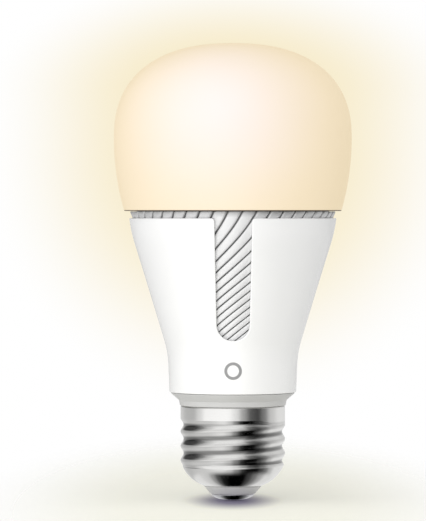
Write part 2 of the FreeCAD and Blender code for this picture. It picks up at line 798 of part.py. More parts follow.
def choke_winding():
    """Copper winding on the drum's waist, its layers rounded at both ends."""
    low, high = CHOKE_Z[0] + 1.25, CHOKE_Z[1] - 1.25
    middle = (low + high) / 2
    coil = spin(
        [
            *path((1.55, high), (1.55, low), (2.7, low)),
            Part.Arc(V(2.7, 0, low), V(3.1, 0, middle), V(2.7, 0, high)).toShape(),
            line((2.7, high), (1.55, high)),
        ]
    )
    coil.translate(V(CHOKE_X, CHOKE_Y, 0))
    return coil


def film_capacitor():
    """Boxed film capacitor across the mains, on the back of the board."""
    box = block((-5.2, 5.2), (BACK, BACK + 4.6), (38.0, 46.5))
    upright = [e for e in box.Edges if is_upright(e)]
    return box.makeFillet(0.6, upright)


def bridge_rectifier():
    """Flat four-legged rectifier on the back of the board."""
    body = block((-2.4, 2.4), (BACK + 0.1, BACK + 1.7), (29.0, 32.8))
    legs = [
        block((x - 0.35, x + 0.35), (BACK, BACK + 0.25), z)
        for x in (-1.3, 1.3)
        for z in ((27.7, 29.2), (32.6, 34.1))
    ]
    return body.fuse(legs)


def driver_chip():
    """Eight-legged controller chip on the back of the board."""
    body = block((-2.45, 2.45), (BACK + 0.1, BACK + 1.5), (50.0, 53.9))
    legs = []
    for i in range(4):
        x = -1.905 + 1.27 * i
        legs += [block((x - 0.2, x + 0.2), (BACK, BACK + 0.2), z) for z in ((49.0, 50.2), (53.7, 54.9))]
    return body.fuse(legs)


# x, z, width and height of the chip resistors and capacitors on the board's back.
CHIPS = (
    (-6.6, 50.0, 1.25, 2.0),
    (-6.6, 54.0, 1.25, 2.0),
    (6.4, 50.5, 1.6, 3.2),
    (6.4, 55.0, 1.25, 2.0),
    (-1.8, 57.4, 2.0, 1.25),
    (2.0, 57.4, 2.0, 1.25),
    (-5.6, 30.0, 1.6, 3.2),
    (5.6, 30.5, 1.25, 2.0),
)


def chip_parts():
    """Small surface-mounted resistors and capacitors."""
    depth = 0.6
    return group(
        [block((x - w / 2, x + w / 2), (BACK, BACK + depth), (z - h / 2, z + h / 2)) for x, z, w, h in CHIPS]
    )


FUSE_X, FUSE_Y, FUSE_Z = -5.6, FRONT - 1.9, (24.5, 31.0)


def fuse_resistor():
    """Fusible resistor: a body with a bulged cap at each end, and its leads."""
    low, high = FUSE_Z
    body = polygon(
        (0, low),
        (1.1, low),
        (1.45, low + 0.4),
        (1.45, low + 1.3),
        (1.15, low + 1.7),
        (1.15, high - 1.7),
        (1.45, high - 1.3),
        (1.45, high - 0.4),
        (1.1, high),
        (0, high),
    )
    body.translate(V(FUSE_X, FUSE_Y, 0))
    return body


# x, y and height of each lead that runs from a part on the front into the board, and where it starts.
LEAD_R = 0.3


def tube(points, radius, bend):
    """Round wire through the points, with each corner rounded to the bend radius."""
    edges, start = [], points[0]
    for i in range(1, len(points) - 1):
        before, corner, after = points[i - 1], points[i], points[i + 1]
        back, on = (before - corner).normalize(), (after - corner).normalize()
        half = back.getAngle(on) / 2
        reach = bend / math.tan(half)
        entry, leave = corner + back * reach, corner + on * reach
        inward = (back + on).normalize()
        middle = corner + inward * (bend / math.sin(half) - bend)
        edges.append(Part.LineSegment(start, entry).toShape())
        edges.append(Part.Arc(entry, middle, leave).toShape())
        start = leave
    edges.append(Part.LineSegment(start, points[-1]).toShape())
    wire = Part.Wire(edges)
    direction = points[1] - points[0]
    section = Part.Wire(Part.makeCircle(radius, points[0], direction))
    return wire.makePipeShell([section], True, False)


def component_leads():
    """Tinned leads that bend from the front components into the board."""
    leads = []
    for x, radius, foot, _ in (INPUT_CAN, OUTPUT_CAN):
        for side in (-1, 1):
            lead_x = x + side * radius * 0.45
            y = can_y(radius)
            points = [V(lead_x, y, foot), V(lead_x, y, foot - 1.1), V(lead_x, FRONT, foot - 1.1)]
            leads.append(tube(points, LEAD_R, 0.6))
    for end, way in ((FUSE_Z[0], -1), (FUSE_Z[1], 1)):
        z = end + way * 1.0
        leads.append(tube([V(FUSE_X, FUSE_Y, end), V(FUSE_X, FUSE_Y, z), V(FUSE_X, FRONT, z)], LEAD_R, 0.6))
    for end, way in ((CHOKE_Z[0], -1), (CHOKE_Z[1], 1)):
        z = end + way * 0.9
        leads.append(tube([V(CHOKE_X, CHOKE_Y, end), V(CHOKE_X, CHOKE_Y, z), V(CHOKE_X, FRONT, z)], LEAD_R, 0.6))
    return group(leads)


WIRE_R = 0.65
LIVE_ROUTE = [V(0, 0, 6.0), V(0, 0, 8.6), V(2.6, -2.4, 11.0), V(2.6, -2.4, 15.4), V(2.6, FRONT, 15.4)]
NEUTRAL_ROUTE = [
    V(-3.4, FRONT, 17.6),
    V(-3.4, -3.2, 17.6),
    V(-5.0, -4.6, 12.6),
    V(-6.2, -4.8, 8.6),
    V(-7.2, -5.6, 7.6),
]


def live_wire():
    """Insulated wire from the contact's stem to the driver board."""
    return tube(LIVE_ROUTE, WIRE_R, 0.9)


def neutral_wire():
    """Insulated wire from the driver board to the inside of the screw cap."""
    return tube(NEUTRAL_ROUTE, WIRE_R, 0.9)


def potting():
    """Heat-conducting compound that fills the spigot round the driver board's foot and the wires."""
    spigot_in = SHELL_R - 2 * THREAD_WAVE - SHELL_WALL - LOOSE - CASE_WALL
    low, high = ROLL_TOP + 1.3, 20.5
    fill = ring(0, spigot_in - 0.02, low, high)
    return fill.cut([driver_board(), live_wire(), neutral_wire()])


# ---------------------------------------------------------------- files


PIECES = {
    "diffuser": diffuser,
    "diffuser_adhesive": diffuser_adhesive,
    "heat_sink": heat_sink,
    "housing_shell": housing_shell,
    "driver_case": driver_case,
    "screw_shell": screw_shell,
    "base_insulator": base_insulator,
    "tip_contact": tip_contact,
    "led_board": led_board,
    "thermal_pad": thermal_pad,
    "led_packages": led_packages,
    "led_phosphors": led_phosphors,
    "board_screws": board_screws,
    "board_connector": board_connector,
    "radio_board": radio_board,
    "radio_shield": radio_shield,
    "radio_chip": radio_chip,
    "antenna": antenna,
    "radio_header": radio_header,
    "driver_board": driver_board,
    "header_block": header_block,
    "header_pins": header_pins,
    "input_capacitor_can": lambda: capacitor_can(INPUT_CAN),
    "input_capacitor_sleeve": lambda: capacitor_sleeve(INPUT_CAN),
    "output_capacitor_can": lambda: capacitor_can(OUTPUT_CAN),
    "output_capacitor_sleeve": lambda: capacitor_sleeve(OUTPUT_CAN),
    "transformer_core": transformer_core,
    "transformer_bobbin": transformer_bobbin,
    "transformer_winding": transformer_winding,
    "choke_core": choke_core,
    "choke_winding": choke_winding,
    "film_capacitor": film_capacitor,
    "bridge_rectifier": bridge_rectifier,
    "driver_chip": driver_chip,
    "chip_parts": chip_parts,
    "fuse_resistor": fuse_resistor,
    "component_leads": component_leads,
    "live_wire": live_wire,
    "neutral_wire": neutral_wire,
    "potting": potting,
}


def main():
    os.makedirs("parts", exist_ok=True)
    for name, make in PIECES.items():
        shape = make()
        shape.exportStep(f"parts/{name}.step")
        print(f"{name}: {len(shape.Solids)} solid(s), {shape.Volume:.1f} mm3, valid {shape.isValid()}")


main()
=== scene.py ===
import math

import bpy
from bpy.props import FloatProperty, FloatVectorProperty, IntProperty, PointerProperty
from bpy.types import Operator, Panel, PropertyGroup
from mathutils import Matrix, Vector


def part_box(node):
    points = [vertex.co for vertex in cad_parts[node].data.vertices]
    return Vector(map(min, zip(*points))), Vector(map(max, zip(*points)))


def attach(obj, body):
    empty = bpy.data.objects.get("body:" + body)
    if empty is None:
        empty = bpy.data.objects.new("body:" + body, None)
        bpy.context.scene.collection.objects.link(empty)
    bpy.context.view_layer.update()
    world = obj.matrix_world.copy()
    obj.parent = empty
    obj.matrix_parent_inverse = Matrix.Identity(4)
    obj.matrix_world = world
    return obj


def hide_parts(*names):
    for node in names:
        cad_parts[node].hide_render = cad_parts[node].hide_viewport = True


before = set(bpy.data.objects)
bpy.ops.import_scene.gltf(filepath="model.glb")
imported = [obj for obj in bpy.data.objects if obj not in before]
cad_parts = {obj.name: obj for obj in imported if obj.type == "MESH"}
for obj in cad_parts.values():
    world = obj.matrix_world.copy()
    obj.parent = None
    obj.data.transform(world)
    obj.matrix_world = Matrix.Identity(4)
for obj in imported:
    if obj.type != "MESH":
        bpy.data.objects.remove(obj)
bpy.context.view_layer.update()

bl_info = {
    "name": "LED bulb builder",
    "version": (1, 0, 0),
    "blender": (4, 5, 0),
    "location": "View3D > Sidebar > Bulb",
    "description": "Builds the visible pieces of a lit LED bulb with a screw base, and its studio",
    "category": "Object",
}

# Shapes are worked out in millimetres, with the tip of the base at zero and +Z up, and made in metres.
MM = 0.001
TURN = 2 * math.pi
FRONT = -math.pi / 2  # the side that the first cooling window faces


def node_top(node):
    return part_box(node)[1][2] / MM


def node_foot(node):
    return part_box(node)[0][2] / MM


def node_radius(node):
    return max(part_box(node)[1][0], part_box(node)[1][1]) / MM


# ---------------------------------------------------------------- what a user may change


def length(name, description, millimetres):
    return FloatProperty(
        name=name, description=description, default=millimetres * MM, min=0.0, unit="LENGTH", precision=5
    )


def colour(name, description, red, green, blue):
    return FloatVectorProperty(
        name=name,
        description=description,
        default=(red, green, blue),
        min=0.0,
        max=1.0,
        size=3,
        subtype="COLOR",
    )


class BulbSizes(PropertyGroup):
    """Sizes of the visible pieces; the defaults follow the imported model."""

    dome_radius: length("Dome radius", "Half the dome's greatest width", node_radius("diffuser"))
    dome_widest: length("Dome's widest height", "Height at which the dome is widest", 91.0)
    dome_mouth: length("Dome mouth radius", "Radius of the dome's lower rim", 27.4)
    dome_foot: length("Dome foot", "Height of the dome's lower rim", 72.7)
    dome_wall: length("Dome wall", "Thickness of the dome", 1.4)
    rib_depth: length("Groove depth", "Depth of the grooves between the ribs", 0.62)
    rib_count: IntProperty(name="Ribs", description="Twisted ribs round the heat sink", default=45, min=3)
    window_half_top: length("Window half width, top", "Half the cooling window's width at its top", 4.65)
    window_half_foot: length("Window half width, foot", "Half the cooling window's width at its foot", 4.1)
    window_foot: length("Window foot", "Lowest height of the cooling window", 40.4)
    housing_wall: length("Housing wall", "Thickness of the white housing", 1.4)
    edge_round: length("Housing edge", "Rounding of the housing's moulded edges", 0.32)
    thread_pitch: length("Thread pitch", "Rise of the screw shell's thread in one turn", 25.4 / 7)
    thread_wave: length("Thread wave", "Half the height from the thread's root to its crest", 0.38)
    mark_radius: length("Mark radius", "Radius of the plain printed ring on the front", 2.2)


class BulbColours(PropertyGroup):
    """Colours of the finishes."""

    dome: colour("Dome", "Frosted plastic of the dome", 0.45, 0.42, 0.415)
    glow: colour("Glow", "Light that comes through most of the dome", 1.0, 0.77, 0.335)
    glow_front: colour("Front glow", "Whiter light in the middle of the dome's front", 1.0, 0.86, 0.80)
    glow_strength: FloatProperty(
        name="Glow strength", description="Brightness of the lit dome", default=0.48, min=0.0, max=10.0
    )
    housing: colour("Housing", "Glossy white plastic of the housing", 0.86, 0.86, 0.86)
    # The collar's grey is painted shade: the tone of the white plastic facing down in shadow.
    collar: colour("Collar", "Light grey plastic of the collar", 0.58, 0.58, 0.58)
    sink: colour("Heat sink", "Satin aluminium of the ribs", 0.84, 0.84, 0.845)
    plating: colour("Plating", "Nickel plating of the screw shell", 0.84, 0.835, 0.82)
    mark: colour("Mark", "Grey ink of the plain ring on the front", 0.30, 0.30, 0.305)
    floor: colour("Floor", "Pale ivory floor", 0.90, 0.895, 0.80)


# ---------------------------------------------------------------- outlines


class Outline:
    """A chain of smoothly joined arcs in the r-z half plane, from the first station down.

    Each station is a height and the degrees from upright by which the outline leans in at that height.
    """

    def __init__(self, r, stations):
        self.arcs = []
        for (z, lean), (z_end, lean_end) in zip(stations, stations[1:]):
            sine = math.sin(math.radians(lean))
            radius = (z - z_end) / (math.sin(math.radians(lean_end)) - sine)
            self.arcs.append((z, z_end, r, sine, radius))
            r = self.at(z_end)

    def at(self, z):
        """Radius at height z."""
        z_top, _, r, sine, radius = next((a for a in self.arcs if a[1] <= z + 1e-6), self.arcs[-1])
        return r - radius * (math.sqrt(1 - sine**2) - math.sqrt(1 - (sine + (z_top - z) / radius) ** 2))

    def lean(self, z):
        """Degrees from upright at height z."""
        z_top, _, _, sine, radius = next(a for a in self.arcs if a[1] <= z + 1e-6)
        return math.degrees(math.asin(sine + (z_top - z) / radius))


HOUSING_TOP, HOUSING_FOOT = 70.9, 27.0
HOUSING = Outline(26.15, ((HOUSING_TOP, 7.2), (64.3, 17.3), (40.1, 16.7), (33.7, 2.2), (HOUSING_FOOT, 1.7)))
SINK_FOOT, SINK_FLARE, SINK_TOP = 34.0, 66.0, 72.6
LOOSE = 0.1
WALL = 1.4
FLARE_STATIONS = ((SINK_TOP, 24.0), (SINK_FLARE, HOUSING.lean(SINK_FLARE)))
FLARE_RISE = -Outline(0.0, FLARE_STATIONS).at(SINK_FLARE)
FLARE = Outline(HOUSING.at(SINK_FLARE) - WALL - LOOSE + FLARE_RISE, FLARE_STATIONS)


def sink_r(z):
    """Radius over the heat sink's ribs."""
    return FLARE.at(z) if z > SINK_FLARE else HOUSING.at(z) - WALL - LOOSE


def housing_inner(z):
    """Radius of the housing's inside."""
    return FLARE.at(z) + LOOSE if z > SINK_FLARE else HOUSING.at(z) - WALL


def spread(low, high, count):
    """count numbers from low to high, both included."""
    return [low + (high - low) * i / (count - 1) for i in range(count)]


def mix(a, b, share):
    return a + (b - a) * share


def rounded(corners, steps=5):
    """Outline through (r, z, rounding radius) corners, each sharp corner replaced by an arc."""
    points = []
    last = len(corners) - 1
    for i, (r, z, radius) in enumerate(corners):
        if radius <= 0 or i in (0, last):
            points.append((r, z))
            continue
        back = (corners[i - 1][0] - r, corners[i - 1][1] - z)
        on = (corners[i + 1][0] - r, corners[i + 1][1] - z)
        back_length, on_length = math.hypot(*back), math.hypot(*on)
        back = (back[0] / back_length, back[1] / back_length)
        on = (on[0] / on_length, on[1] / on_length)
        half = math.acos(max(-1, min(1, back[0] * on[0] + back[1] * on[1]))) / 2
        reach = min(radius / math.tan(half), 0.45 * back_length, 0.45 * on_length)
        bend = reach * math.tan(half)
        middle = (back[0] + on[0], back[1] + on[1])
        size = math.hypot(*middle)
        centre_away = bend / math.sin(half)
        centre = (r + middle[0] / size * centre_away, z + middle[1] / size * centre_away)
        start = math.atan2(z + back[1] * reach - centre[1], r + back[0] * reach - centre[0])
        end = math.atan2(z + on[1] * reach - centre[1], r + on[0] * reach - centre[0])
        sweep = (end - start + math.pi) % TURN - math.pi
        for share in spread(0, 1, steps):
            angle = start + sweep * share
            points.append((centre[0] + bend * math.cos(angle), centre[1] + bend * math.sin(angle)))
    return points


# ---------------------------------------------------------------- making pieces


SHARP = math.radians(38)


def piece(name, points, faces, material, node):
    """A mesh from points in millimetres, in place of a CAD node."""
    mesh = bpy.data.meshes.new(name)
    mesh.from_pydata([(x * MM, y * MM, z * MM) for x, y, z in points], [], faces)
    made = bpy.data.objects.new(name, mesh)
    bpy.context.scene.collection.objects.link(made)
    weld(made)
    made.data.materials.append(material)
    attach(made, "root")
    if node:
        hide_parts(node)
    return made


def weld(made):
    """Joins points that coincide, drops faces with no area, turns faces outwards and smooths them."""
    import bmesh

    work = bmesh.new()
    work.from_mesh(made.data)
    bmesh.ops.remove_doubles(work, verts=work.verts, dist=1e-7)
    bmesh.ops.dissolve_degenerate(work, dist=1e-7, edges=work.edges)
    bmesh.ops.recalc_face_normals(work, faces=work.faces)
    work.to_mesh(made.data)
    work.free()
    made.data.polygons.foreach_set("use_smooth", [True] * len(made.data.polygons))
    made.data.set_sharp_from_angle(angle=SHARP)
    made.data.update()


def grid_faces(rows, columns, start=0, wrap=False):
    """Quads between the points of a grid stored row by row."""
    faces = []
    for i in range(rows - 1):
        for j in range(columns if wrap else columns - 1):
            k = (j + 1) % columns
            a, b = start + i * columns, start + (i + 1) * columns
            faces.append((a + j, a + k, b + k, b + j))
    return faces


def lathe(profile, segments, closed=True):
    """Points and faces of an (r, z) profile swept round the axis; a closed profile makes a ring."""
    points = []
    loop = profile + profile[:1] if closed else profile
    for r, z in loop:
        for j in range(segments):
            angle = TURN * j / segments
            points.append((r * math.cos(angle), r * math.sin(angle), z))
    return points, grid_faces(len(loop), segments, wrap=True)


def cut(made, cutter_points, cutter_faces):
    """Takes the space of a closed cutter away from a piece."""
    mesh = bpy.data.meshes.new("cutter")
    mesh.from_pydata([(x * MM, y * MM, z * MM) for x, y, z in cutter_points], [], cutter_faces)
    cutter = bpy.data.objects.new("cutter", mesh)
    bpy.context.scene.collection.objects.link(cutter)
    weld(cutter)
    trim = made.modifiers.new("trim", "BOOLEAN")
    trim.operation = "DIFFERENCE"
    trim.solver = "EXACT"
    trim.object = cutter
    bpy.context.view_layer.update()
    graph = bpy.context.evaluated_depsgraph_get()
    result = bpy.data.meshes.new_from_object(made.evaluated_get(graph))
    made.modifiers.remove(trim)
    old = made.data
    made.data = result
    bpy.data.meshes.remove(old)
    bpy.data.objects.remove(cutter)
    bpy.data.meshes.remove(mesh)
    made.data.materials.clear()
    weld(made)


def box_mesh(low, high):
    """Points and faces of a block."""
    points = [(x, y, z) for z in (low[2], high[2]) for y in (low[1], high[1]) for x in (low[0], high[0])]
    faces = [(0, 2, 3, 1), (4, 5, 7, 6), (0, 1, 5, 4), (2, 6, 7, 3), (0, 4, 6, 2), (1, 3, 7, 5)]
    return points, faces


def together(parts):
    """Several (points, faces) as one."""
    points, faces = [], []
    for part_points, part_faces in parts:
        shift = len(points)
        points += part_points
        faces += [tuple(i + shift for i in face) for face in part_faces]
    return points, faces


# ---------------------------------------------------------------- finishes


class Finish:
    """A material under construction: one Principled surface and the nodes that vary it."""

    def __init__(self, name, **values):
        self.material = bpy.data.materials.new(name)
        self.material.use_nodes = True
        self.tree = self.material.node_tree
        self.tree.nodes.clear()
        output = self.add("ShaderNodeOutputMaterial")
        self.surface = self.add("ShaderNodeBsdfPrincipled")
        self.tree.links.new(self.surface.outputs["BSDF"], output.inputs["Surface"])
        for socket, value in values.items():
            self.surface.inputs[socket.replace("_", " ")].default_value = value
        self.place = self.add("ShaderNodeTexCoord").outputs["Object"]

    def add(self, kind, **settings):
        node = self.tree.nodes.new(kind)
        for key, value in settings.items():
            setattr(node, key, value)
        return node

    def feed(self, node, **links):
        """Sets or links a node's inputs; a socket is linked and anything else is a value."""
        for name, value in links.items():
            socket = node.inputs[int(name[1:])] if name[0] == "i" and name[1:].isdigit() else node.inputs[name]
            if isinstance(value, bpy.types.NodeSocket):
                self.tree.links.new(value, socket)
            else:
                socket.default_value = value
        return node

    def noise(self, scale, detail=3.0, roughness=0.5, stretch=None):
        """Noise with a size per metre, stretched along the axes where asked."""
        place = self.place
        if stretch:
            mapping = self.feed(self.add("ShaderNodeMapping"), Vector=place, Scale=stretch)
            place = mapping.outputs["Vector"]
        made = self.add("ShaderNodeTexNoise")
        self.feed(made, Vector=place, Scale=scale, Detail=detail, Roughness=roughness)
        return made.outputs["Fac"]

    def between(self, value, low, high, from_low=0.3, from_high=0.7):
        made = self.add("ShaderNodeMapRange")
        self.feed(made, i0=value, i1=from_low, i2=from_high, i3=low, i4=high)
        return made.outputs[0]

    def math(self, operation, a, b=0.0):
        made = self.add("ShaderNodeMath", operation=operation)
        self.feed(made, i0=a, i1=b)
        return made.outputs[0]

    def blend(self, share, a, b):
        """Colour a where share is 0 and colour b where it is 1."""
        made = self.add("ShaderNodeMix", data_type="RGBA")
        self.feed(made, i0=share, i6=a, i7=b)
        return made.outputs[2]

    def bump(self, height, depth_mm, strength=1.0, under=None):
        made = self.add("ShaderNodeBump")
        self.feed(made, Strength=strength, Distance=depth_mm * MM, Height=height)
        if under is not None:
            self.tree.links.new(under, made.inputs["Normal"])
        return made.outputs["Normal"]

    def set(self, **links):
        for name, value in links.items():
            self.feed(self.surface, **{name.replace("_", " "): value})
        return self


def rgba(tint, gain=1.0):
    return (tint[0] * gain, tint[1] * gain, tint[2] * gain, 1.0)


def moulded(name, tint, rough=(0.25, 0.35), grain=900.0, grain_mm=0.004, shade=0.94, **values):
    """Moulded plastic: a faint cloud in its colour, fine grain and a slightly uneven gloss."""
    made = Finish(name, **values)
    cloud = made.noise(60.0, 2.0)
    made.set(Base_Color=made.blend(made.between(cloud, 0.0, 1.0), rgba(tint, shade), rgba(tint)))
    made.set(Roughness=made.between(made.noise(260.0, 4.0), rough[0], rough[1]))
    made.set(Normal=made.bump(made.noise(grain, 2.0), grain_mm))
    return made.material


def metal(name, tint, rough=(0.2, 0.32), stretch=(1.0, 1.0, 1.0), grain=1500.0, grain_mm=0.003, dull=0.9):
    """Bare or plated metal with fine drawn or rolled scratches and a slightly uneven tone."""
    made = Finish(name, Metallic=1.0)
    marks = made.noise(grain, 4.0, 0.6, stretch)
    made.set(Base_Color=made.blend(made.between(made.noise(90.0, 3.0), 0.0, 1.0), rgba(tint, dull), rgba(tint)))
    made.set(Roughness=made.between(marks, rough[0], rough[1]))
    made.set(Normal=made.bump(marks, grain_mm))
    return made.material


def plating(name, tint, root, crest):
    """Bright plating with painted shade in the thread's roots and on its crests, between two radii."""
    made = Finish(name, Metallic=1.0)
    split = made.feed(made.add("ShaderNodeSeparateXYZ"), Vector=made.place)
    flat = made.feed(made.add("ShaderNodeCombineXYZ"), X=split.outputs["X"], Y=split.outputs["Y"])
    radius = made.feed(made.add("ShaderNodeVectorMath", operation="LENGTH"), i0=flat.outputs[0]).outputs["Value"]
    depth = crest - root
    # Painted shade: darker in the thread's roots and a little darker on its crests.
    root_shade = made.between(radius, 0.30, 1.0, root + 0.03 * depth, root + 0.38 * depth)
    crest_shade = made.between(radius, 1.0, 0.80, crest - 0.25 * depth, crest)
    below_band = made.between(split.outputs["Z"], 1.0, 0.0, 0.0194, 0.0200)
    above_roll = made.between(split.outputs["Z"], 0.0, 1.0, 0.0082, 0.0094)
    thread = made.math("MULTIPLY", below_band, above_roll)
    thread_shade = made.math("MULTIPLY", root_shade, crest_shade)
    shade = made.math("ADD", made.math("MULTIPLY", thread, made.math("SUBTRACT", thread_shade, 1.0)), 1.0)
    cloud = made.between(made.noise(90.0, 3.0), 0.96, 1.0)
    shade = made.math("MULTIPLY", shade, cloud)
    made.set(Base_Color=made.blend(shade, (0.0, 0.0, 0.0, 1.0), rgba(tint)))
    marks = made.noise(2600.0, 4.0, 0.6, (0.05, 0.05, 1.0))
    made.set(Roughness=made.between(marks, 0.13, 0.2))
    made.set(Normal=made.bump(marks, 0.0012))
    return made.material


def circuit_board(name, tint, copper):
    """Solder mask over raised tracks on a square grid."""
    made = Finish(name)
    tracks = made.feed(
        made.add("ShaderNodeTexBrick", offset=0.5, squash=1.6, squash_frequency=3),
        Vector=made.place,
        Scale=320.0,
        Color1=(1.0, 1.0, 1.0, 1.0),
        Color2=(0.75, 0.75, 0.75, 1.0),
        Mortar=(0.0, 0.0, 0.0, 1.0),
    ).outputs["Fac"]
    made.set(Base_Color=made.blend(tracks, rgba(tint), rgba(copper)))
    made.set(Roughness=made.between(made.noise(500.0), 0.3, 0.5))
    made.set(Normal=made.bump(tracks, 0.02))
    return made.material


def wound(name, tint, turns_per_metre, metallic=0.0):
    """Wire or tape wound round the vertical axis: fine level ridges, with painted shade between them."""
    made = Finish(name, Metallic=metallic)
    split = made.feed(made.add("ShaderNodeSeparateXYZ"), Vector=made.place)
    ridge = made.math("SINE", made.math("MULTIPLY", split.outputs["Z"], TURN * turns_per_metre))
    ridge = made.between(ridge, 0.0, 1.0, -1.0, 1.0)
    # Painted shade in the hollows between the turns.
    made.set(Base_Color=made.blend(ridge, rgba(tint, 0.62), rgba(tint)))
    made.set(Roughness=made.between(made.noise(700.0), 0.28, 0.42))
    made.set(Normal=made.bump(ridge, 0.05))
    return made.material


def frosted(name, colours, foot):
    """Frosted plastic with a light inside: warm, and whiter in the middle of its front; a painted seam shadow at
    its foot's edge.
    """
    made = Finish(name, IOR=1.35, Emission_Strength=colours.glow_strength)
    middle = made.feed(made.add("ShaderNodeVectorMath", operation="DISTANCE"), i0=made.place, i1=(-0.004, -0.030, 0.098))
    cloud = made.between(made.noise(45.0, 2.0), -0.0008, 0.0008)
    away = made.math("ADD", middle.outputs["Value"], cloud)
    warm = made.add("ShaderNodeMapRange", interpolation_type="SMOOTHSTEP")
    made.feed(warm, i0=away, i1=-0.002, i2=0.033, i3=0.0, i4=1.0)
    split = made.feed(made.add("ShaderNodeSeparateXYZ"), Vector=made.place)
    # Painted seam shadow: the foot's edge is dark and gives no glow.
    edge = made.between(split.outputs["Z"], 1.0, 0.0, foot + 0.00016, foot + 0.0003)
    lit = made.blend(warm.outputs[0], rgba(colours.glow_front), rgba(colours.glow))
    dark = (0.10, 0.07, 0.05, 1.0)
    tint = made.blend(made.between(made.noise(60.0, 2.0), 0.0, 1.0), rgba(colours.dome, 0.98), rgba(colours.dome))
    made.set(Emission_Color=made.blend(edge, lit, (0.0, 0.0, 0.0, 1.0)))
    made.set(Base_Color=made.blend(edge, tint, dark))
    made.set(Roughness=made.between(made.noise(400.0, 4.0), 0.5, 0.62))
    made.set(Normal=made.bump(made.noise(2600.0, 2.0), 0.006))
    return made.material


# ---------------------------------------------------------------- outer pieces


class BulbOperator:
    """What all the builders share."""

    bl_options = {"REGISTER", "UNDO"}

    def execute(self, context):
        self.build(context.scene.bulb_sizes, context.scene.bulb_colours)
        return {"FINISHED"}


def dome_side(radius, widest, top, count):
    """Squarish dome outline from its crown to its widest point."""
    power = 2 / 2.37
    points = []
    for share in spread(1, 0, count):
        angle = share * math.pi / 2
        cosine, sine = max(0.0, math.cos(angle)), math.sin(angle)
        r = 0.0 if share == 1 else radius * cosine**power
        points.append((r, widest + (top - widest) * sine**power))
    return points


class BULB_OT_dome(BulbOperator, Operator):
    """Frosted dome with its inner ledge and the skirt that sits in the heat sink"""

    bl_idname = "bulb.dome"
    bl_label = "Frosted dome"

    def build(self, sizes, colours):
        radius, widest, foot = sizes.dome_radius / MM, sizes.dome_widest / MM, sizes.dome_foot / MM
        wall, top, mouth = sizes.dome_wall / MM, node_top("diffuser") - 0.01, sizes.dome_mouth / MM
        drop, narrowing = widest - foot, radius - mouth
        bend = (drop**2 + narrowing**2) / (2 * narrowing)
        lean = math.degrees(math.asin(drop / bend))
        outer = Outline(radius, ((widest, 0.0), (foot, lean)))
        inner = Outline(radius - wall, ((widest, 0.0), (foot, lean)))
        outer_foot, inner_foot = foot + 0.5, foot + 2.2
        ledge, skirt_foot = foot + 1.6, node_foot("diffuser")
        rim = [
            (outer.at(outer_foot), outer_foot, 0),
            (outer.at(foot), foot, 0.35),
            (24.2, foot, 0.12),
            (24.2, skirt_foot, 0.2),
            (23.3, skirt_foot, 0.2),
            (23.3, ledge, 0.3),
            (inner.at(ledge), ledge, 0.4),
            (inner.at(inner_foot), inner_foot, 0),
        ]
        profile = dome_side(radius, widest, top, 56)
        profile += [(outer.at(z), z) for z in spread(widest, outer_foot, 18)[1:-1]]
        profile += rounded(rim)
        profile += [(inner.at(z), z) for z in spread(inner_foot, widest, 18)[1:-1]]
        profile += dome_side(radius - wall, widest, top - wall, 44)[::-1]
        points, faces = lathe(profile, 192, closed=False)
        glow = frosted("frosted_dome", colours, foot * MM)
        piece("frosted_dome", points, faces, glow, "diffuser")


TWIST_RATE, TWIST_FADE, RIB_PHASE = 0.078, 43.7, -93.0
# Where a rib is sampled across one pitch, closer together beside its groove.
RIB_SHARES = (0.0, 0.03, 0.06, 0.09, 0.125, 0.18, 0.28, 0.42, 0.58, 0.72, 0.82, 0.875, 0.91, 0.94, 0.97)


def twist(z):
    """Angle through which a rib has turned at height z, from the heat sink's foot."""
    up = z - SINK_FOOT
    return TWIST_RATE * (up - up**3 / (3 * TWIST_FADE**2))


def rib_height(share, depth):
    """How far a rib's surface stands below its crest: a round-bottomed groove and a low crown."""
    away = min(share, 1 - share)
    groove = math.exp(-((away / 0.075) ** 2))
    crown = 0.10 * (1 - 2 * away) ** 2
    return -min(depth, groove * (depth - 0.10) + crown)


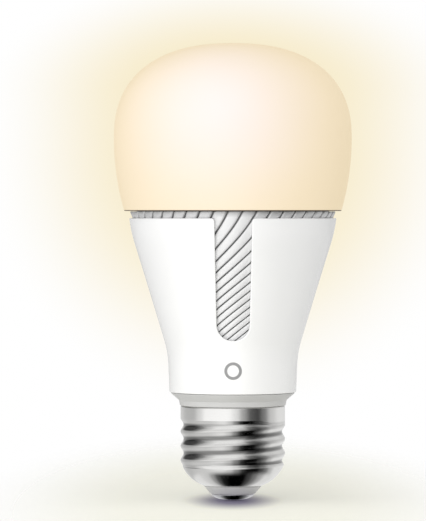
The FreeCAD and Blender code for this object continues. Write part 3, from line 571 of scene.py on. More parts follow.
class BULB_OT_heat_sink(BulbOperator, Operator):
    """Aluminium heat sink with twisted ribs and the platform under the light board"""

    bl_idname = "bulb.heat_sink"
    bl_label = "Heat sink"

    def build(self, sizes, colours):
        count, depth = sizes.rib_count, sizes.rib_depth / MM
        pitch = TURN / count
        columns = count * len(RIB_SHARES)
        points = []
        rows = spread(SINK_FOOT, SINK_TOP, 116)
        for z in rows:
            start = math.radians(RIB_PHASE) + twist(z) - twist(SINK_TOP)
            # The grooves run out at the top and bottom edges, which are lightly broken.
            edge = min(z - SINK_FOOT, SINK_TOP - z)
            shave = 0.18 * max(0.0, 1 - edge / 0.3) ** 2
            for i in range(count):
                for share in RIB_SHARES:
                    angle = start + (i + share) * pitch
                    r = sink_r(z) + rib_height(share, depth) - shave
                    points.append((r * math.cos(angle), r * math.sin(angle), z))
        inset = -(WALL + LOOSE + 0.6 + 1.5)
        inner = [(24.4, SINK_TOP, 0), (24.4, 71.0, 0), (23.1, 71.0, 0), (23.1, 71.6, 0), (0.0, 71.6, 0)]
        under = [(0.0, 69.0, 0), (HOUSING.at(SINK_FLARE) + inset, 69.0, 0)]
        under += [(HOUSING.at(z) + inset, z, 0) for z in spread(SINK_FLARE, SINK_FOOT, 24)]
        last = twist(SINK_TOP) - twist(SINK_TOP) + math.radians(RIB_PHASE)
        first = math.radians(RIB_PHASE) + twist(SINK_FOOT) - twist(SINK_TOP)
        ring = inner + under
        for k, (r, z, _) in enumerate(ring):
            start = mix(last, first, k / (len(ring) - 1))
            for i in range(count):
                for share in RIB_SHARES:
                    angle = start + (i + share) * pitch
                    points.append((r * math.cos(angle), r * math.sin(angle), z))
        total = len(rows) + len(ring)
        faces = grid_faces(total, columns, wrap=True)
        end = (total - 1) * columns
        for j in range(columns):
            k = (j + 1) % columns
            faces.append((end + j, end + k, k, j))
        tools = [box_mesh((-7.0, -5.4, 68.0), (7.0, 4.2, 72.6))]
        for degrees in (90, 210, 330):
            x, y = 19.6 * math.cos(math.radians(degrees)), 19.6 * math.sin(math.radians(degrees))
            hole, hole_faces = lathe([(0, 68.0), (1.25, 68.0), (1.25, 72.6), (0, 72.6)], 32, closed=False)
            tools.append(([(px + x, py + y, pz) for px, py, pz in hole], hole_faces))
        satin = self.finish(colours, pitch)
        made = piece("ribbed_heat_sink", points, faces, satin, "heat_sink")
        cut(made, *together(tools))
        made.data.materials.append(satin)

    def finish(self, colours, pitch):
        made = Finish("satin_aluminium", Metallic=0.4)
        cloud = made.between(made.noise(120.0, 3.0), 0.0, 1.0)
        clean = made.blend(cloud, rgba(colours.sink, 0.95), rgba(colours.sink))
        # Painted shade along the bottoms of the twisted grooves.
        split = made.feed(made.add("ShaderNodeSeparateXYZ"), Vector=made.place)
        around = made.math("ARCTAN2", split.outputs["Y"], split.outputs["X"])
        up = made.math("SUBTRACT", made.math("DIVIDE", split.outputs["Z"], MM), SINK_FOOT)
        slow = made.math("DIVIDE", made.math("POWER", up, 3.0), 3 * TWIST_FADE**2)
        turned = made.math("MULTIPLY", made.math("SUBTRACT", up, slow), TWIST_RATE)
        start = math.radians(RIB_PHASE) - twist(SINK_TOP)
        ribs = made.math("DIVIDE", made.math("SUBTRACT", made.math("SUBTRACT", around, turned), start), pitch)
        share = made.math("FRACT", made.math("ADD", ribs, 100.0))
        beside = made.math("MINIMUM", share, made.math("SUBTRACT", 1.0, share))
        groove_shade = made.math("MULTIPLY", made.between(beside, 1.0, 0.0, 0.035, 0.10), 0.78)
        # Painted shadow of the dome over the top of the ribs.
        rim = made.between(up, 0.0, 0.45, SINK_TOP - SINK_FOOT - 1.5, SINK_TOP - SINK_FOOT)
        made.set(Base_Color=made.blend(made.math("MAXIMUM", groove_shade, rim), clean, (0.05, 0.05, 0.05, 1.0)))
        made.set(Roughness=made.between(made.noise(900.0, 4.0), 0.34, 0.46))
        made.set(Normal=made.bump(made.noise(2200.0, 3.0), 0.005))
        return made.material


class Housing:
    """Works out the housing's mesh: a skirt round the bulb with three U-shaped windows open at the top."""

    def __init__(self, sizes):
        self.half_top, self.half_foot = sizes.window_half_top / MM, sizes.window_half_foot / MM
        self.foot = sizes.window_foot / MM
        self.corner = 0.8
        self.round = sizes.edge_round / MM
        self.arc_z = self.foot + self.half_foot
        self.points, self.faces = [], []

    def half(self, z):
        """Half the window's width at height z, above its round foot."""
        share = (z - self.arc_z) / (HOUSING_TOP - self.corner - self.arc_z)
        return mix(self.half_foot, self.half_top, share)

    def edge(self, inset):
        """The right-hand edge of the window, moved into the plastic by inset, from its foot to its corner.

        Each point is (x in the front view, height).
        """
        points = []
        reach = self.half_foot + inset
        for angle in spread(0, math.pi / 2, 22):
            points.append((reach * math.sin(angle), self.arc_z - reach * math.cos(angle)))
        for z in spread(self.arc_z, HOUSING_TOP - self.corner, 46)[1:]:
            points.append((self.half(z) + inset, z))
        size = self.corner - inset
        centre = (self.half_top + self.corner, HOUSING_TOP - self.corner)
        for angle in spread(0, math.pi / 2, 9)[1:]:
            points.append((centre[0] - size * math.cos(angle), centre[1] + size * math.sin(angle)))
        return points

    def angle(self, x, z, depth):
        """Angle from the window's middle of a point at x in the front view, at a depth into the wall."""
        return math.asin(min(1.0, x / self.radius(z, depth)))

    def radius(self, z, depth):
        """Radius at a share of the wall's thickness in from the outside."""
        return mix(HOUSING.at(z), housing_inner(z), depth)

    def add_rows(self, rows):
        """Adds a grid for each third of the housing from rows of (angle from a window's middle, r, z)."""
        for third in range(3):
            start = len(self.points)
            for row in rows:
                for angle, r, z in row:
                    a = FRONT + angle + third * TURN / 3
                    self.points.append((r * math.cos(a), r * math.sin(a), z))
            self.faces += grid_faces(len(rows), len(rows[0]), start)

    TOP_SHARES = [s * s * (3 - 2 * s) for s in spread(0, 1, 41)]

    def rim_row(self, inset, depth, drop=0.0):
        """One line along the whole edge of a third: up a window's side, along the top and down the next."""
        side = [(self.angle(x, z, depth), z) for x, z in self.edge(inset)]
        start, z_top = side[-1]
        end = TURN / 3 - start
        row = side + [(mix(start, end, share), z_top) for share in self.TOP_SHARES[1:-1]]
        row += [(TURN / 3 - angle, z) for angle, z in side[::-1]]
        return [(angle, self.radius(z, depth), z) for angle, z in row]

    def rim(self):
        """The edge: rounded over from outside, across the wall and rounded into the inside."""
        wall = WALL
        steps = spread(0, math.pi / 2, 6)
        stations = [(self.corner, 0.0), (0.6, 0.0), (0.45, 0.0)]
        for angle in steps:
            stations.append((self.round * (1 - math.sin(angle)), self.round * (1 - math.cos(angle)) / wall))
        small = 0.2
        for angle in steps[::-1]:
            stations.append((small * (1 - math.sin(angle)), 1 - small * (1 - math.cos(angle)) / wall))
        stations += [(0.45, 1.0), (0.6, 1.0), (self.corner, 1.0)]
        self.add_rows([self.rim_row(inset, depth) for inset, depth in stations])

    def field(self, depth):
        """The plain surface between the windows, from the edge's line down to the windows' feet."""
        edge = [p for p in self.edge(self.corner)]
        rows = []
        seen = set()
        for x, z in edge[::-1]:
            if round(z, 5) in seen:
                continue
            seen.add(round(z, 5))
            start = self.angle(x, z, depth)
            row = [(mix(start, TURN / 3 - start, share), self.radius(z, depth), z) for share in self.TOP_SHARES]
            rows.append(row)
        self.add_rows(rows)

    def skirt(self):
        """Below the windows: down the outside, round the foot and up the inside."""
        start = self.arc_z - self.half_foot - self.corner
        profile = [(HOUSING.at(z), z) for z in spread(start, HOUSING_FOOT + 0.5, 26)[:-1]]
        foot_r = HOUSING.at(HOUSING_FOOT)
        profile += rounded(
            [
                (HOUSING.at(HOUSING_FOOT + 0.5), HOUSING_FOOT + 0.5, 0),
                (foot_r, HOUSING_FOOT, 0.3),
                (foot_r - WALL, HOUSING_FOOT, 0.2),
                (housing_inner(HOUSING_FOOT + 0.5), HOUSING_FOOT + 0.5, 0),
            ]
        )
        profile += [(housing_inner(z), z) for z in spread(HOUSING_FOOT + 0.5, start, 26)[1:]]
        rows = [[(TURN / 3 * share, r, z) for share in self.TOP_SHARES] for r, z in profile]
        self.add_rows(rows)

    def mesh(self):
        self.rim()
        self.field(0.0)
        self.field(1.0)
        self.skirt()
        return self.points, self.faces


class BULB_OT_housing(BulbOperator, Operator):
    """Glossy white housing with three cooling windows"""

    bl_idname = "bulb.housing"
    bl_label = "White housing"

    def build(self, sizes, colours):
        points, faces = Housing(sizes).mesh()
        white = moulded(
            "gloss_white_plastic", colours.housing, (0.16, 0.22), 420.0, 0.0025, 0.985, Coat_Weight=0.25
        )
        piece("white_housing", points, faces, white, "housing_shell")


class BULB_OT_mark(BulbOperator, Operator):
    """Plain ring printed on the front of the housing"""

    bl_idname = "bulb.mark"
    bl_label = "Printed ring"

    def build(self, sizes, colours):
        outer = sizes.mark_radius / MM
        centre_z, inner, ink = 32.9, outer - 0.75, 0.035
        section = [(inner, 0.0), (inner + 0.04, ink), (outer - 0.04, ink), (outer, 0.0)]
        points = []
        segments = 72
        for reach, height in section + section[:1]:
            for j in range(segments):
                angle = TURN * j / segments
                x, z = reach * math.cos(angle), centre_z + reach * math.sin(angle)
                r = HOUSING.at(z) + height - 0.005
                points.append((x, -math.sqrt(r * r - x * x), z))
        faces = grid_faces(len(section) + 1, segments, wrap=True)
        grey = moulded("grey_ink", colours.mark, (0.4, 0.5), 1800.0, 0.002, 0.9)
        piece("printed_ring", points, faces, grey, None)


class BULB_OT_driver_case(BulbOperator, Operator):
    """Grey collar and neck under the housing, with the sleeve and spigot of the case behind them"""

    bl_idname = "bulb.driver_case"
    bl_label = "Collar and driver case"

    def build(self, sizes, colours):
        gap = -(WALL + LOOSE + 0.6 + 1.5 + LOOSE)
        inner = gap - 1.1
        sleeve_top, shoulder, floor = SINK_FLARE - 1, SINK_FOOT - 0.3, HOUSING_FOOT - 0.1
        seat = HOUSING.at(HOUSING_FOOT) - WALL - LOOSE
        spigot, spigot_foot = 11.99, 9.5
        outer = [(HOUSING.at(z) + gap, z) for z in spread(sleeve_top, shoulder, 26)]
        plug = [(HOUSING.at(z) - WALL - LOOSE, z) for z in spread(shoulder, HOUSING_FOOT, 8)]
        collar = rounded(
            [
                (seat, HOUSING_FOOT, 0),
                (seat, floor, 0.05),
                (15.8, floor, 0.12),
                (13.6, 25.0, 0.4),
                (13.35, 23.62, 0.28),
                (spigot, 23.62, 0.05),
                (spigot, spigot_foot, 0.3),
                (spigot - 1.1, spigot_foot, 0.3),
                (spigot - 1.1, SINK_FOOT, 0.3),
                (HOUSING.at(SINK_FOOT) + inner, SINK_FOOT, 0.05),
                (HOUSING.at(SINK_FOOT + 0.5) + inner, SINK_FOOT + 0.5, 0),
            ]
        )
        sleeve = [(HOUSING.at(z) + inner, z) for z in spread(SINK_FOOT + 0.5, sleeve_top, 26)[1:]]
        points, faces = lathe(outer + plug + collar + sleeve, 160)
        # Grey taken from the collar's shaded bevel: painted shade.
        grey = moulded("grey_case_plastic_painted_shade", colours.collar, (0.3, 0.42), 1100.0, 0.004)
        piece("collar_and_case", points, faces, grey, "driver_case")


SHELL_R, SHELL_TOP, ROLL_TOP, SHELL_FOOT = 13.2, 23.6, 8.2, 3.4
SHELL_WALL = 0.35
CREST_Z = 13.4  # a crest's height on the -X side


def soft_max(a, b, blend=0.12):
    return (a + b + math.sqrt((a - b) ** 2 + blend**2)) / 2


def soft_min(a, b, blend=0.12):
    return -soft_max(-a, -b, blend)


class BULB_OT_screw_shell(BulbOperator, Operator):
    """Plated screw shell: plain band, rounded right-hand thread and rolled end"""

    bl_idname = "bulb.screw_shell"
    bl_label = "Screw shell"

    def build(self, sizes, colours):
        wave, pitch = sizes.thread_wave / MM, sizes.thread_pitch / MM
        core = SHELL_R - wave
        root = SHELL_R - 2 * wave
        roll = root + 0.25

        def thread(angle, z):
            turn = angle - math.pi - TURN * (z - CREST_Z) / pitch
            return wave * math.cos(turn) + math.sqrt(core**2 - (wave * math.sin(turn)) ** 2)

        def side(angle, z):
            """Outer radius between the rolled end and the top edge."""
            r = thread(angle, z)
            if z < ROLL_TOP + 1.6:
                r = soft_min(r, mix(roll, SHELL_R + 0.1, (z - ROLL_TOP) / 1.2))
                r = soft_max(r, roll - 0.1 if z < ROLL_TOP + 1.0 else 0.0)
            # The last groove runs out into the plain band on the +X side.
            run_out = max(0.0, min(1.0, (math.cos(angle) - 0.4) / 0.5))
            start = 19.1 - 1.1 * run_out * run_out * (3 - 2 * run_out)
            if z > start - 0.5:
                r = soft_max(r, mix(root, SHELL_R, (z - start) / 1.2))
            return min(r, SHELL_R)

        end = [(roll, ROLL_TOP), (10.625, 5.35), (7.4, SHELL_FOOT)]
        centre, size = circle_through(*end)
        a_start = math.atan2(end[0][1] - centre[1], end[0][0] - centre[0])
        a_end = math.atan2(end[2][1] - centre[1], end[2][0] - centre[0])
        a_end = a_start + (a_end - a_start + math.pi) % TURN - math.pi
        columns = 288
        points, rows = [], 0

        def row(at):
            nonlocal rows
            rows += 1
            for j in range(columns):
                angle = TURN * j / columns
                r, z = at(angle)
                points.append((r * math.cos(angle), r * math.sin(angle), z))

        lip, lip_r = spread(0, math.pi / 2, 7), 0.34
        for turn in lip[::-1]:
            row(lambda angle: (SHELL_R - lip_r * (1 - math.cos(turn)), SHELL_TOP - lip_r * (1 - math.sin(turn))))
        for z in spread(SHELL_TOP - lip_r, ROLL_TOP + 0.05, 150)[1:]:
            row(lambda angle: (side(angle, z), z))
        for share in spread(0.01, 1, 30):
            turn = mix(a_start, a_end, share)
            arc = (centre[0] + size * math.cos(turn), centre[1] + size * math.sin(turn))
            row(lambda angle: arc)
        row(lambda angle: (7.2, SHELL_FOOT - 0.0))
        row(lambda angle: (7.05, SHELL_FOOT + 0.12))
        row(lambda angle: (7.05, SHELL_FOOT + 0.5))
        for share in spread(1, 0.0, 24):
            turn = mix(a_start, a_end, share)
            inside = size - SHELL_WALL
            if centre[1] + inside * math.sin(turn) > SHELL_FOOT + 0.5:
                arc = (centre[0] + inside * math.cos(turn), centre[1] + inside * math.sin(turn))
                row(lambda angle: arc)
        for z in spread(ROLL_TOP + 0.3, SHELL_TOP - 0.3, 120)[:-1]:
            row(lambda angle: (side(angle, z) - SHELL_WALL, z))
        row(lambda angle: (SHELL_R - SHELL_WALL, SHELL_TOP - 0.3))
        row(lambda angle: (SHELL_R - SHELL_WALL, SHELL_TOP))
        faces = grid_faces(rows, columns, wrap=True)
        last = (rows - 1) * columns
        faces += [(last + j, last + (j + 1) % columns, (j + 1) % columns, j) for j in range(columns)]
        plated = plating("nickel_plating", colours.plating, root * MM, SHELL_R * MM)
        piece("screw_shell_plated", points, faces, plated, "screw_shell")


def circle_through(a, b, c):
    """Centre and radius of the circle through three points."""
    d = 2 * (a[0] * (b[1] - c[1]) + b[0] * (c[1] - a[1]) + c[0] * (a[1] - b[1]))
    squares = [p[0] ** 2 + p[1] ** 2 for p in (a, b, c)]
    x = (squares[0] * (b[1] - c[1]) + squares[1] * (c[1] - a[1]) + squares[2] * (a[1] - b[1])) / d
    y = (squares[0] * (c[0] - b[0]) + squares[1] * (a[0] - c[0]) + squares[2] * (b[0] - a[0])) / d
    return (x, y), math.hypot(a[0] - x, a[1] - y)


class BULB_OT_insulator(BulbOperator, Operator):
    """Moulded insulator between the screw shell and the centre contact"""

    bl_idname = "bulb.insulator"
    bl_label = "Insulator"

    def build(self, sizes, colours):
        corners = [
            (1.0, 1.2, 0),
            (5.3, 1.2, 0.1),
            (5.75, 1.45, 0.25),
            (7.3, 3.3, 0.15),
            (7.0, 3.4, 0.04),
            (7.0, 3.8, 0.1),
            (8.0, 5.4, 0.2),
            (8.0, 6.4, 0.2),
            (3.0, 6.4, 0.2),
            (3.0, 5.4, 0.2),
            (1.0, 5.4, 0),
        ]
        points, faces = lathe(rounded(corners), 128)
        white = moulded("insulator_plastic", (0.66, 0.66, 0.65), (0.35, 0.5), 1500.0, 0.006, 0.93)
        piece("base_insulator_moulded", points, faces, white, "base_insulator")


class BULB_OT_contact(BulbOperator, Operator):
    """Low domed centre contact with its riveted stem"""

    bl_idname = "bulb.contact"
    bl_label = "Centre contact"

    def build(self, sizes, colours):
        foot = node_foot("tip_contact")
        dome = [(0.0, foot + 0.001), (2.4, foot + 0.001)]
        centre, size = circle_through((2.4, 0.0), (4.35, 0.34), (5.25, 0.95))
        start = math.atan2(0.0 - centre[1], 2.4 - centre[0])
        end = math.atan2(0.95 - centre[1], 5.25 - centre[0])
        for share in spread(0.08, 1, 12):
            turn = mix(start, end, share)
            dome.append((centre[0] + size * math.cos(turn), max(foot, centre[1] + size * math.sin(turn))))
        stem = [(5.3, 1.1, 0), (5.3, 1.2, 0.04), (0.9, 1.2, 0), (0.9, 5.4, 0), (1.7, 5.4, 0.1)]
        stem += [(1.4, 6.0, 0.25), (0.0, 6.0, 0)]
        points, faces = lathe(dome + rounded(stem), 128, closed=False)
        steel = metal("contact_metal", (0.66, 0.66, 0.69), (0.12, 0.22), (1.0, 1.0, 1.0), 900.0, 0.006, 0.8)
        piece("tip_contact_domed", points, faces, steel, "tip_contact")


# ---------------------------------------------------------------- inner pieces


def dress(material, *nodes):
    """Gives CAD nodes a finish."""
    for name in nodes:
        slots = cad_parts[name].material_slots
        if not slots:
            raise RuntimeError(f"{name} has no material slot")
        for slot in slots:
            slot.material = material


class BULB_OT_light_engine(BulbOperator, Operator):
    """Finishes of the light board and what is on it"""

    bl_idname = "bulb.light_engine"
    bl_label = "Light board"

    def build(self, sizes, colours):
        dress(circuit_board("white_solder_mask", (0.86, 0.86, 0.84), (0.78, 0.78, 0.75)), "led_board")
        dress(moulded("grey_thermal_pad", (0.30, 0.32, 0.35), (0.6, 0.8), 700.0, 0.03), "thermal_pad")
        dress(moulded("white_silicone", (0.78, 0.78, 0.76), (0.45, 0.6), 300.0, 0.05), "diffuser_adhesive")
        dress(moulded("emitter_ceramic", (0.86, 0.84, 0.78), (0.4, 0.5)), "led_packages")
        dress(moulded("phosphor_gel", (0.92, 0.66, 0.12), (0.2, 0.35), 2500.0, 0.01), "led_phosphors")
        dress(metal("zinc_screws", (0.62, 0.62, 0.60), (0.25, 0.4), (1, 1, 1), 1500.0, 0.006), "board_screws")
        dress(moulded("connector_nylon", (0.80, 0.78, 0.70), (0.35, 0.5)), "board_connector")


class BULB_OT_radio(BulbOperator, Operator):
    """Finishes of the wireless board, its shield, chip and antenna"""

    bl_idname = "bulb.radio"
    bl_label = "Wireless board"

    def build(self, sizes, colours):
        dress(circuit_board("dark_solder_mask", (0.02, 0.09, 0.05), (0.04, 0.16, 0.09)), "radio_board")
        dress(metal("tinned_shield", (0.66, 0.66, 0.65), (0.28, 0.4), (1.0, 0.05, 0.05)), "radio_shield")
        dress(metal("gold_plating", (0.80, 0.56, 0.24), (0.2, 0.3)), "antenna", "header_pins")
        black = moulded("black_epoxy", (0.02, 0.02, 0.022), (0.4, 0.55), 1600.0, 0.006, 0.8)
        dress(black, "radio_chip", "radio_header", "header_block", "bridge_rectifier", "driver_chip")


class BULB_OT_driver(BulbOperator, Operator):
    """Finishes of the driver board, its components, wires and potting"""

    bl_idname = "bulb.driver"
    bl_label = "Driver"

    def build(self, sizes, colours):
        dress(circuit_board("green_solder_mask", (0.03, 0.17, 0.06), (0.06, 0.28, 0.11)), "driver_board")
        can = metal("drawn_aluminium_can", (0.72, 0.73, 0.75), (0.25, 0.38), (1.0, 1.0, 0.05))
        dress(can, "input_capacitor_can", "output_capacitor_can")
        sleeve = moulded("navy_sleeve", (0.02, 0.03, 0.08), (0.2, 0.32), 500.0, 0.008)
        dress(sleeve, "input_capacitor_sleeve", "output_capacitor_sleeve")
        dress(moulded("ferrite", (0.05, 0.05, 0.055), (0.5, 0.7), 1300.0, 0.02), "transformer_core", "choke_core")
        dress(moulded("bobbin_plastic", (0.03, 0.028, 0.025), (0.35, 0.5)), "transformer_bobbin")
        dress(wound("yellow_tape", (0.80, 0.52, 0.06), 900.0), "transformer_winding")
        dress(wound("enamelled_copper", (0.62, 0.22, 0.08), 2400.0, 0.9), "choke_winding")
        dress(moulded("film_capacitor_box", (0.70, 0.42, 0.04), (0.3, 0.42)), "film_capacitor")
        dress(moulded("chip_ceramic", (0.16, 0.12, 0.09), (0.45, 0.6)), "chip_parts")
        dress(moulded("resistor_lacquer", (0.12, 0.28, 0.42), (0.25, 0.4)), "fuse_resistor")
        dress(metal("tinned_leads", (0.72, 0.72, 0.72), (0.22, 0.35)), "component_leads")
        dress(moulded("black_insulation", (0.03, 0.03, 0.03), (0.4, 0.5), 500.0, 0.01), "live_wire")
        dress(moulded("white_insulation", (0.78, 0.78, 0.76), (0.4, 0.5), 500.0, 0.01), "neutral_wire")
        dress(moulded("grey_potting", (0.08, 0.08, 0.085), (0.5, 0.7), 350.0, 0.06), "potting")


# ---------------------------------------------------------------- stage


class BULB_OT_stage(BulbOperator, Operator):
    """Pale floor, soft studio light and the camera"""

    bl_idname = "bulb.stage"
    bl_label = "Stage"

    def build(self, sizes, colours):
        bpy.context.scene.view_settings.view_transform = "Standard"
        self.floor(colours)
        self.world()
        self.lights()
        self.camera()

    def floor(self, colours):
        """A round pale floor that fades out at its edge."""
        radius, segments = 0.52, 96
        points = [(0.0, 0.0, 0.0)]
        rings = (0.02, 0.05, 0.1, 0.2, 0.35, radius)
        for r in rings:
            points += [(r * math.cos(TURN * j / segments), r * math.sin(TURN * j / segments), 0.0) for j in range(segments)]
        faces = [(0, 1 + j, 1 + (j + 1) % segments) for j in range(segments)]
        faces += grid_faces(len(rings), segments, 1, wrap=True)
        mesh = bpy.data.meshes.new("floor")
        mesh.from_pydata(points, [], faces)
        floor = bpy.data.objects.new("floor", mesh)
        bpy.context.scene.collection.objects.link(floor)
        floor.location.z = -0.0002
        made = Finish("pale_floor", Roughness=0.6, Specular_IOR_Level=0.2)
        # Painted contact shadow: darker and slightly violet just round the contact.
        shadow_place = made.feed(made.add("ShaderNodeMapping"), Vector=made.place, Scale=(1 / 0.011, 1 / 0.028, 1.0))
        shadow_place.inputs["Location"].default_value = (0.0, 0.15, 0.0)
        reach = made.feed(made.add("ShaderNodeVectorMath", operation="LENGTH"), i0=shadow_place.outputs["Vector"])
        shade = made.add("ShaderNodeMapRange", interpolation_type="SMOOTHSTEP")
        made.feed(shade, i0=reach.outputs["Value"], i1=0.2, i2=1.3, i3=0.9, i4=0.0)
        pale = made.blend(made.noise(30.0, 3.0), rgba(colours.floor, 0.99), rgba(colours.floor))
        tint = made.blend(shade.outputs[0], pale, (0.12, 0.10, 0.20, 1.0))
        made.set(Emission_Color=tint, Emission_Strength=0.17)
        made.set(Base_Color=tint)
        made.set(Normal=made.bump(made.noise(900.0), 0.004))
        flat = made.feed(made.add("ShaderNodeMapping"), Vector=made.place, Scale=(1 / 0.072, 1 / 0.31, 1.0))
        away = made.feed(made.add("ShaderNodeVectorMath", operation="LENGTH"), i0=flat.outputs["Vector"])
        fade = made.add("ShaderNodeMapRange", interpolation_type="SMOOTHSTEP")
        made.feed(fade, i0=away.outputs["Value"], i1=0.3, i2=1.0, i3=1.0, i4=0.0)
        # Polished metal sees a dark patch of floor in front of the base, and lighter floor to its sides.
        path = made.add("ShaderNodeLightPath")
        out = made.feed(made.add("ShaderNodeVectorMath", operation="LENGTH"), i0=made.place)
        split = made.feed(made.add("ShaderNodeSeparateXYZ"), Vector=made.place)
        round_it = made.math("ARCTAN2", split.outputs["X"], made.math("MULTIPLY", split.outputs["Y"], -1.0))
        lit = cards(made.tree, round_it, self.NEAR)
        for stops, start, end in ((self.FAR, 0.013, 0.018), (self.CARDS, 0.028, 0.06)):
            step = made.add("ShaderNodeMapRange", interpolation_type="SMOOTHSTEP")
            made.feed(step, i0=out.outputs["Value"], i1=start, i2=end, i3=0.0, i4=1.0)
            change = made.math("SUBTRACT", cards(made.tree, round_it, stops), lit)
            lit = made.math("ADD", lit, made.math("MULTIPLY", step.outputs[0], change))
        lit = made.math("MULTIPLY", lit, 1.12)
        dark = made.feed(made.add("ShaderNodeEmission"), Strength=lit)
        clear = made.add("ShaderNodeBsdfTransparent")
        seen = made.add("ShaderNodeMixShader")
        made.feed(seen, i0=fade.outputs[0], i1=clear.outputs[0], i2=made.surface.outputs[0])
        both = made.add("ShaderNodeMixShader")
        made.feed(both, i0=path.outputs["Is Glossy Ray"], i1=seen.outputs[0], i2=dark.outputs[0])
        output = next(n for n in made.tree.nodes if n.type == "OUTPUT_MATERIAL")
        made.tree.links.new(both.outputs[0], output.inputs["Surface"])
        floor.data.materials.append(made.material)

    def world(self):
        """White surround for the eye, a soft ambient light, and a studio of cards for reflections."""
        world = bpy.data.worlds.new("studio")
        bpy.context.scene.world = world
        world.use_nodes = True
        tree = world.node_tree
        tree.nodes.clear()

        def add(kind, **settings):
            node = tree.nodes.new(kind)
            for key, value in settings.items():
                setattr(node, key, value)
            return node

        def calc(operation, a, b=0.0):
            node = add("ShaderNodeMath", operation=operation)
            for socket, value in zip(node.inputs, (a, b)):
                if isinstance(value, bpy.types.NodeSocket):
                    tree.links.new(value, socket)
                else:
                    socket.default_value = value
            return node.outputs[0]

        way = add("ShaderNodeSeparateXYZ")
        tree.links.new(add("ShaderNodeTexCoord").outputs["Generated"], way.inputs[0])
        x, y, z = way.outputs
        azimuth = calc("ARCTAN2", x, calc("MULTIPLY", y, -1.0))
        low, high = cards(tree, azimuth, self.CARDS), cards(tree, azimuth, self.HIGH_CARDS)
        raised = add("ShaderNodeMapRange", interpolation_type="SMOOTHSTEP")
        for i, value in enumerate((z, 0.08, 0.26, 0.0, 1.0)):
            if i == 0:
                tree.links.new(value, raised.inputs[0])
            else:
                raised.inputs[i].default_value = value
        reflected = calc("ADD", low, calc("MULTIPLY", raised.outputs[0], calc("SUBTRACT", high, low)))
        overhead = add("ShaderNodeMapRange", interpolation_type="SMOOTHSTEP")
        for i, value in enumerate((z, 0.75, 1.0, 0.0, 1.0)):
            if i == 0:
                tree.links.new(value, overhead.inputs[0])
            else:
                overhead.inputs[i].default_value = value
        above = calc("MULTIPLY", overhead.outputs[0], calc("SUBTRACT", 0.85, reflected))
        reflected = calc("ADD", reflected, above)
        below = add("ShaderNodeMapRange", interpolation_type="SMOOTHSTEP")
        for i, value in enumerate((z, -0.45, -0.02, 0.15, 1.0)):
            if i == 0:
                tree.links.new(value, below.inputs[0])
            else:
                below.inputs[i].default_value = value
        reflected = calc("MULTIPLY", reflected, below.outputs[0])
        # Brighter from the front and the left, and a little from above.
        ambient = calc("ADD", 0.58, calc("MULTIPLY", x, -0.29))
        ambient = calc("ADD", ambient, calc("MULTIPLY", y, -0.50))
        ambient = calc("MAXIMUM", calc("ADD", ambient, calc("MULTIPLY", z, 0.25)), 0.42)
        path = add("ShaderNodeLightPath")
        output = add("ShaderNodeOutputWorld")
        # The lit dome's warm glow on the surround behind it.
        aside = calc("DIVIDE", calc("SUBTRACT", x, 0.005), 0.0645)
        over = calc("DIVIDE", calc("MAXIMUM", calc("SUBTRACT", z, 0.0285), 0.0), 0.033)
        under = calc("DIVIDE", calc("MAXIMUM", calc("SUBTRACT", 0.0143, z), 0.0), 0.067)
        upright = calc("ADD", over, under)
        away = calc("SQRT", calc("ADD", calc("MULTIPLY", aside, aside), calc("MULTIPLY", upright, upright)))
        fading = add("ShaderNodeMapRange", interpolation_type="SMOOTHSTEP")
        tree.links.new(away, fading.inputs[0])
        for i, value in enumerate((0.30, 1.0, 1.0, 0.0), 1):
            fading.inputs[i].default_value = value
        surround = add("ShaderNodeMix", data_type="RGBA")
        tree.links.new(fading.outputs[0], surround.inputs[0])
        surround.inputs[6].default_value = (1.0, 1.0, 1.0, 1.0)
        surround.inputs[7].default_value = (0.93, 0.835, 0.60, 1.0)
        shades = []
        for level in (ambient, reflected, None):
            back = add("ShaderNodeBackground")
            back.inputs["Color"].default_value = (1.0, 1.0, 1.0, 1.0)
            if level is None:
                tree.links.new(surround.outputs[2], back.inputs["Color"])
            else:
                tree.links.new(level, back.inputs["Strength"])
            shades.append(back.outputs[0])
        soft = add("ShaderNodeMixShader")
        tree.links.new(path.outputs["Is Glossy Ray"], soft.inputs[0])
        tree.links.new(shades[0], soft.inputs[1])
        tree.links.new(shades[1], soft.inputs[2])
        final = add("ShaderNodeMixShader")
        tree.links.new(path.outputs["Is Camera Ray"], final.inputs[0])
        tree.links.new(soft.outputs[0], final.inputs[1])
        tree.links.new(shades[2], final.inputs[2])
        tree.links.new(final.outputs[0], output.inputs["Surface"])

    # Brightness of the reflected studio by degrees round the bulb, from behind it past the left, front and right.
    CARDS = (
        (-180, 0.70),
        (-150, 0.62),
        (-118, 0.50),
        (-96, 0.48),
        (-78, 0.72),
        (-60, 1.0),
        (-10, 1.05),
        (8, 0.80),
        (22, 0.38),
        (40, 0.09),
        (56, 0.05),
        (72, 0.20),
        (92, 0.60),
        (120, 0.80),
        (180, 0.70),
    )

    # Brightness of the floor as the metal sees it: right under the base, and a little way out.
    NEAR = (
        (-180, 0.80),
        (-80, 0.75),
        (-64, 0.64),
        (-52, 0.58),
        (-40, 0.30),
        (-30, 0.08),
        (-20, 0.01),
        (-5, 0.0),
        (20, 0.0),
        (32, 0.05),
        (43, 0.16),
        (58, 0.38),
        (75, 0.70),
        (180, 0.80),
    )
    FAR = (
        (-180, 0.75),
        (-110, 0.50),
        (-60, 0.60),
        (-20, 0.78),
        (-6, 0.60),
        (6, 0.25),
        (18, 0.03),
        (26, 0.0),
        (44, 0.0),
        (56, 0.06),
        (66, 0.17),
        (80, 0.48),
        (96, 0.75),
        (180, 0.75),
    )

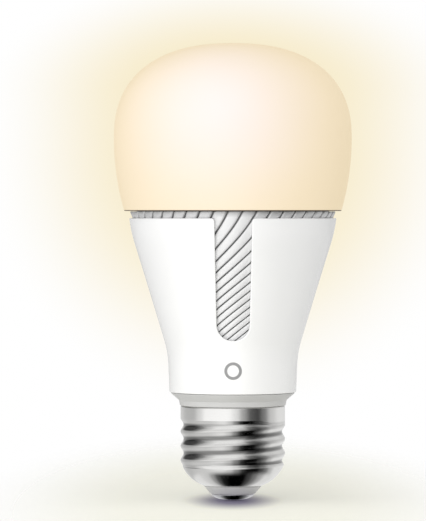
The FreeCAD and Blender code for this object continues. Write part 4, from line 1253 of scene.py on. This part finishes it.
    # The same higher up, where the reflections in the thread's upper flanks come from.
    HIGH_CARDS = (
        (-180, 0.55),
        (-160, 0.12),
        (-148, 0.05),
        (-112, 0.05),
        (-96, 0.22),
        (-80, 0.60),
        (-50, 0.95),
        (0, 0.95),
        (22, 0.70),
        (40, 0.16),
        (58, 0.08),
        (76, 0.25),
        (96, 0.60),
        (130, 0.75),
        (180, 0.55),
    )

    def lights(self):
        """Large soft lights: the key in front and a little to the left, the rim behind on the right."""
        for name, where, size, energy in (
            ("key", (-0.30, -1.2, 0.22), 0.7, 5.2),
            ("rim", (1.1, 0.42, 0.16), 0.6, 2.6),
        ):
            data = bpy.data.lights.new(name, "AREA")
            data.shape = "DISK"
            data.size = size
            data.energy = energy
            light = bpy.data.objects.new(name, data)
            bpy.context.scene.collection.objects.link(light)
            light.location = where
            aim(light, (0.0, 0.0, 0.07))
            light.visible_glossy = False

    def camera(self):
        """Long lens at the height of the seam, level with the bulb's middle."""
        data = bpy.data.cameras.new("camera")
        camera = bpy.data.objects.new("camera", data)
        bpy.context.scene.collection.objects.link(camera)
        away, seam, across = 1.0, 0.073, 426
        pixels_per_metre = 3960.0
        data.sensor_fit = "HORIZONTAL"
        data.sensor_width = 36.0
        data.lens = pixels_per_metre * away * data.sensor_width / across
        data.clip_start, data.clip_end = 0.05, 20.0
        camera.location = (-0.0050, -away, seam)
        aim(camera, (-0.0050, 0.0, 0.0602))
        bpy.context.scene.camera = camera


def cards(tree, azimuth, stops):
    """Brightness by azimuth, in radians, from stops in degrees."""
    share = tree.nodes.new("ShaderNodeMapRange")
    tree.links.new(azimuth, share.inputs[0])
    share.inputs[1].default_value, share.inputs[2].default_value = -math.pi, math.pi
    ramp = tree.nodes.new("ShaderNodeValToRGB")
    tree.links.new(share.outputs[0], ramp.inputs[0])
    ramp.color_ramp.interpolation = "EASE"
    elements = ramp.color_ramp.elements
    while len(elements) > 1:
        elements.remove(elements[-1])
    for i, (degrees, level) in enumerate(stops):
        element = elements[0] if i == 0 else elements.new(degrees / 360 + 0.5)
        element.position = degrees / 360 + 0.5
        element.color = (level, level, level, 1.0)
    return ramp.outputs[0]


def aim(thing, target):
    """Points a camera or light at a place."""
    from mathutils import Vector

    way = Vector(target) - thing.location
    thing.rotation_euler = way.to_track_quat("-Z", "Y").to_euler()


# ---------------------------------------------------------------- panel and running order


BUILDERS = (
    BULB_OT_dome,
    BULB_OT_heat_sink,
    BULB_OT_housing,
    BULB_OT_mark,
    BULB_OT_driver_case,
    BULB_OT_screw_shell,
    BULB_OT_insulator,
    BULB_OT_contact,
    BULB_OT_light_engine,
    BULB_OT_radio,
    BULB_OT_driver,
    BULB_OT_stage,
)


class BULB_PT_builder(Panel):
    """Lists the bulb's builders, sizes and colours"""

    bl_idname = "BULB_PT_builder"
    bl_label = "LED bulb"
    bl_space_type = "VIEW_3D"
    bl_region_type = "UI"
    bl_category = "Bulb"

    def draw(self, context):
        column = self.layout.column(align=True)
        for builder in BUILDERS:
            column.operator(builder.bl_idname, text=builder.bl_label)
        for group in (context.scene.bulb_sizes, context.scene.bulb_colours):
            column = self.layout.column()
            for name in group.__annotations__:
                column.prop(group, name)


CLASSES = (BulbSizes, BulbColours, *BUILDERS, BULB_PT_builder)


def register():
    for cls in CLASSES:
        bpy.utils.register_class(cls)
    bpy.types.Scene.bulb_sizes = PointerProperty(type=BulbSizes)
    bpy.types.Scene.bulb_colours = PointerProperty(type=BulbColours)


def unregister():
    del bpy.types.Scene.bulb_colours
    del bpy.types.Scene.bulb_sizes
    for cls in reversed(CLASSES):
        bpy.utils.unregister_class(cls)


def main():
    register()
    for builder in BUILDERS:
        group, name = builder.bl_idname.split(".")
        result = getattr(getattr(bpy.ops, group), name)()
        if result != {"FINISHED"}:
            raise RuntimeError(f"{builder.bl_label} did not finish")


if __name__ == "__main__":
    main()
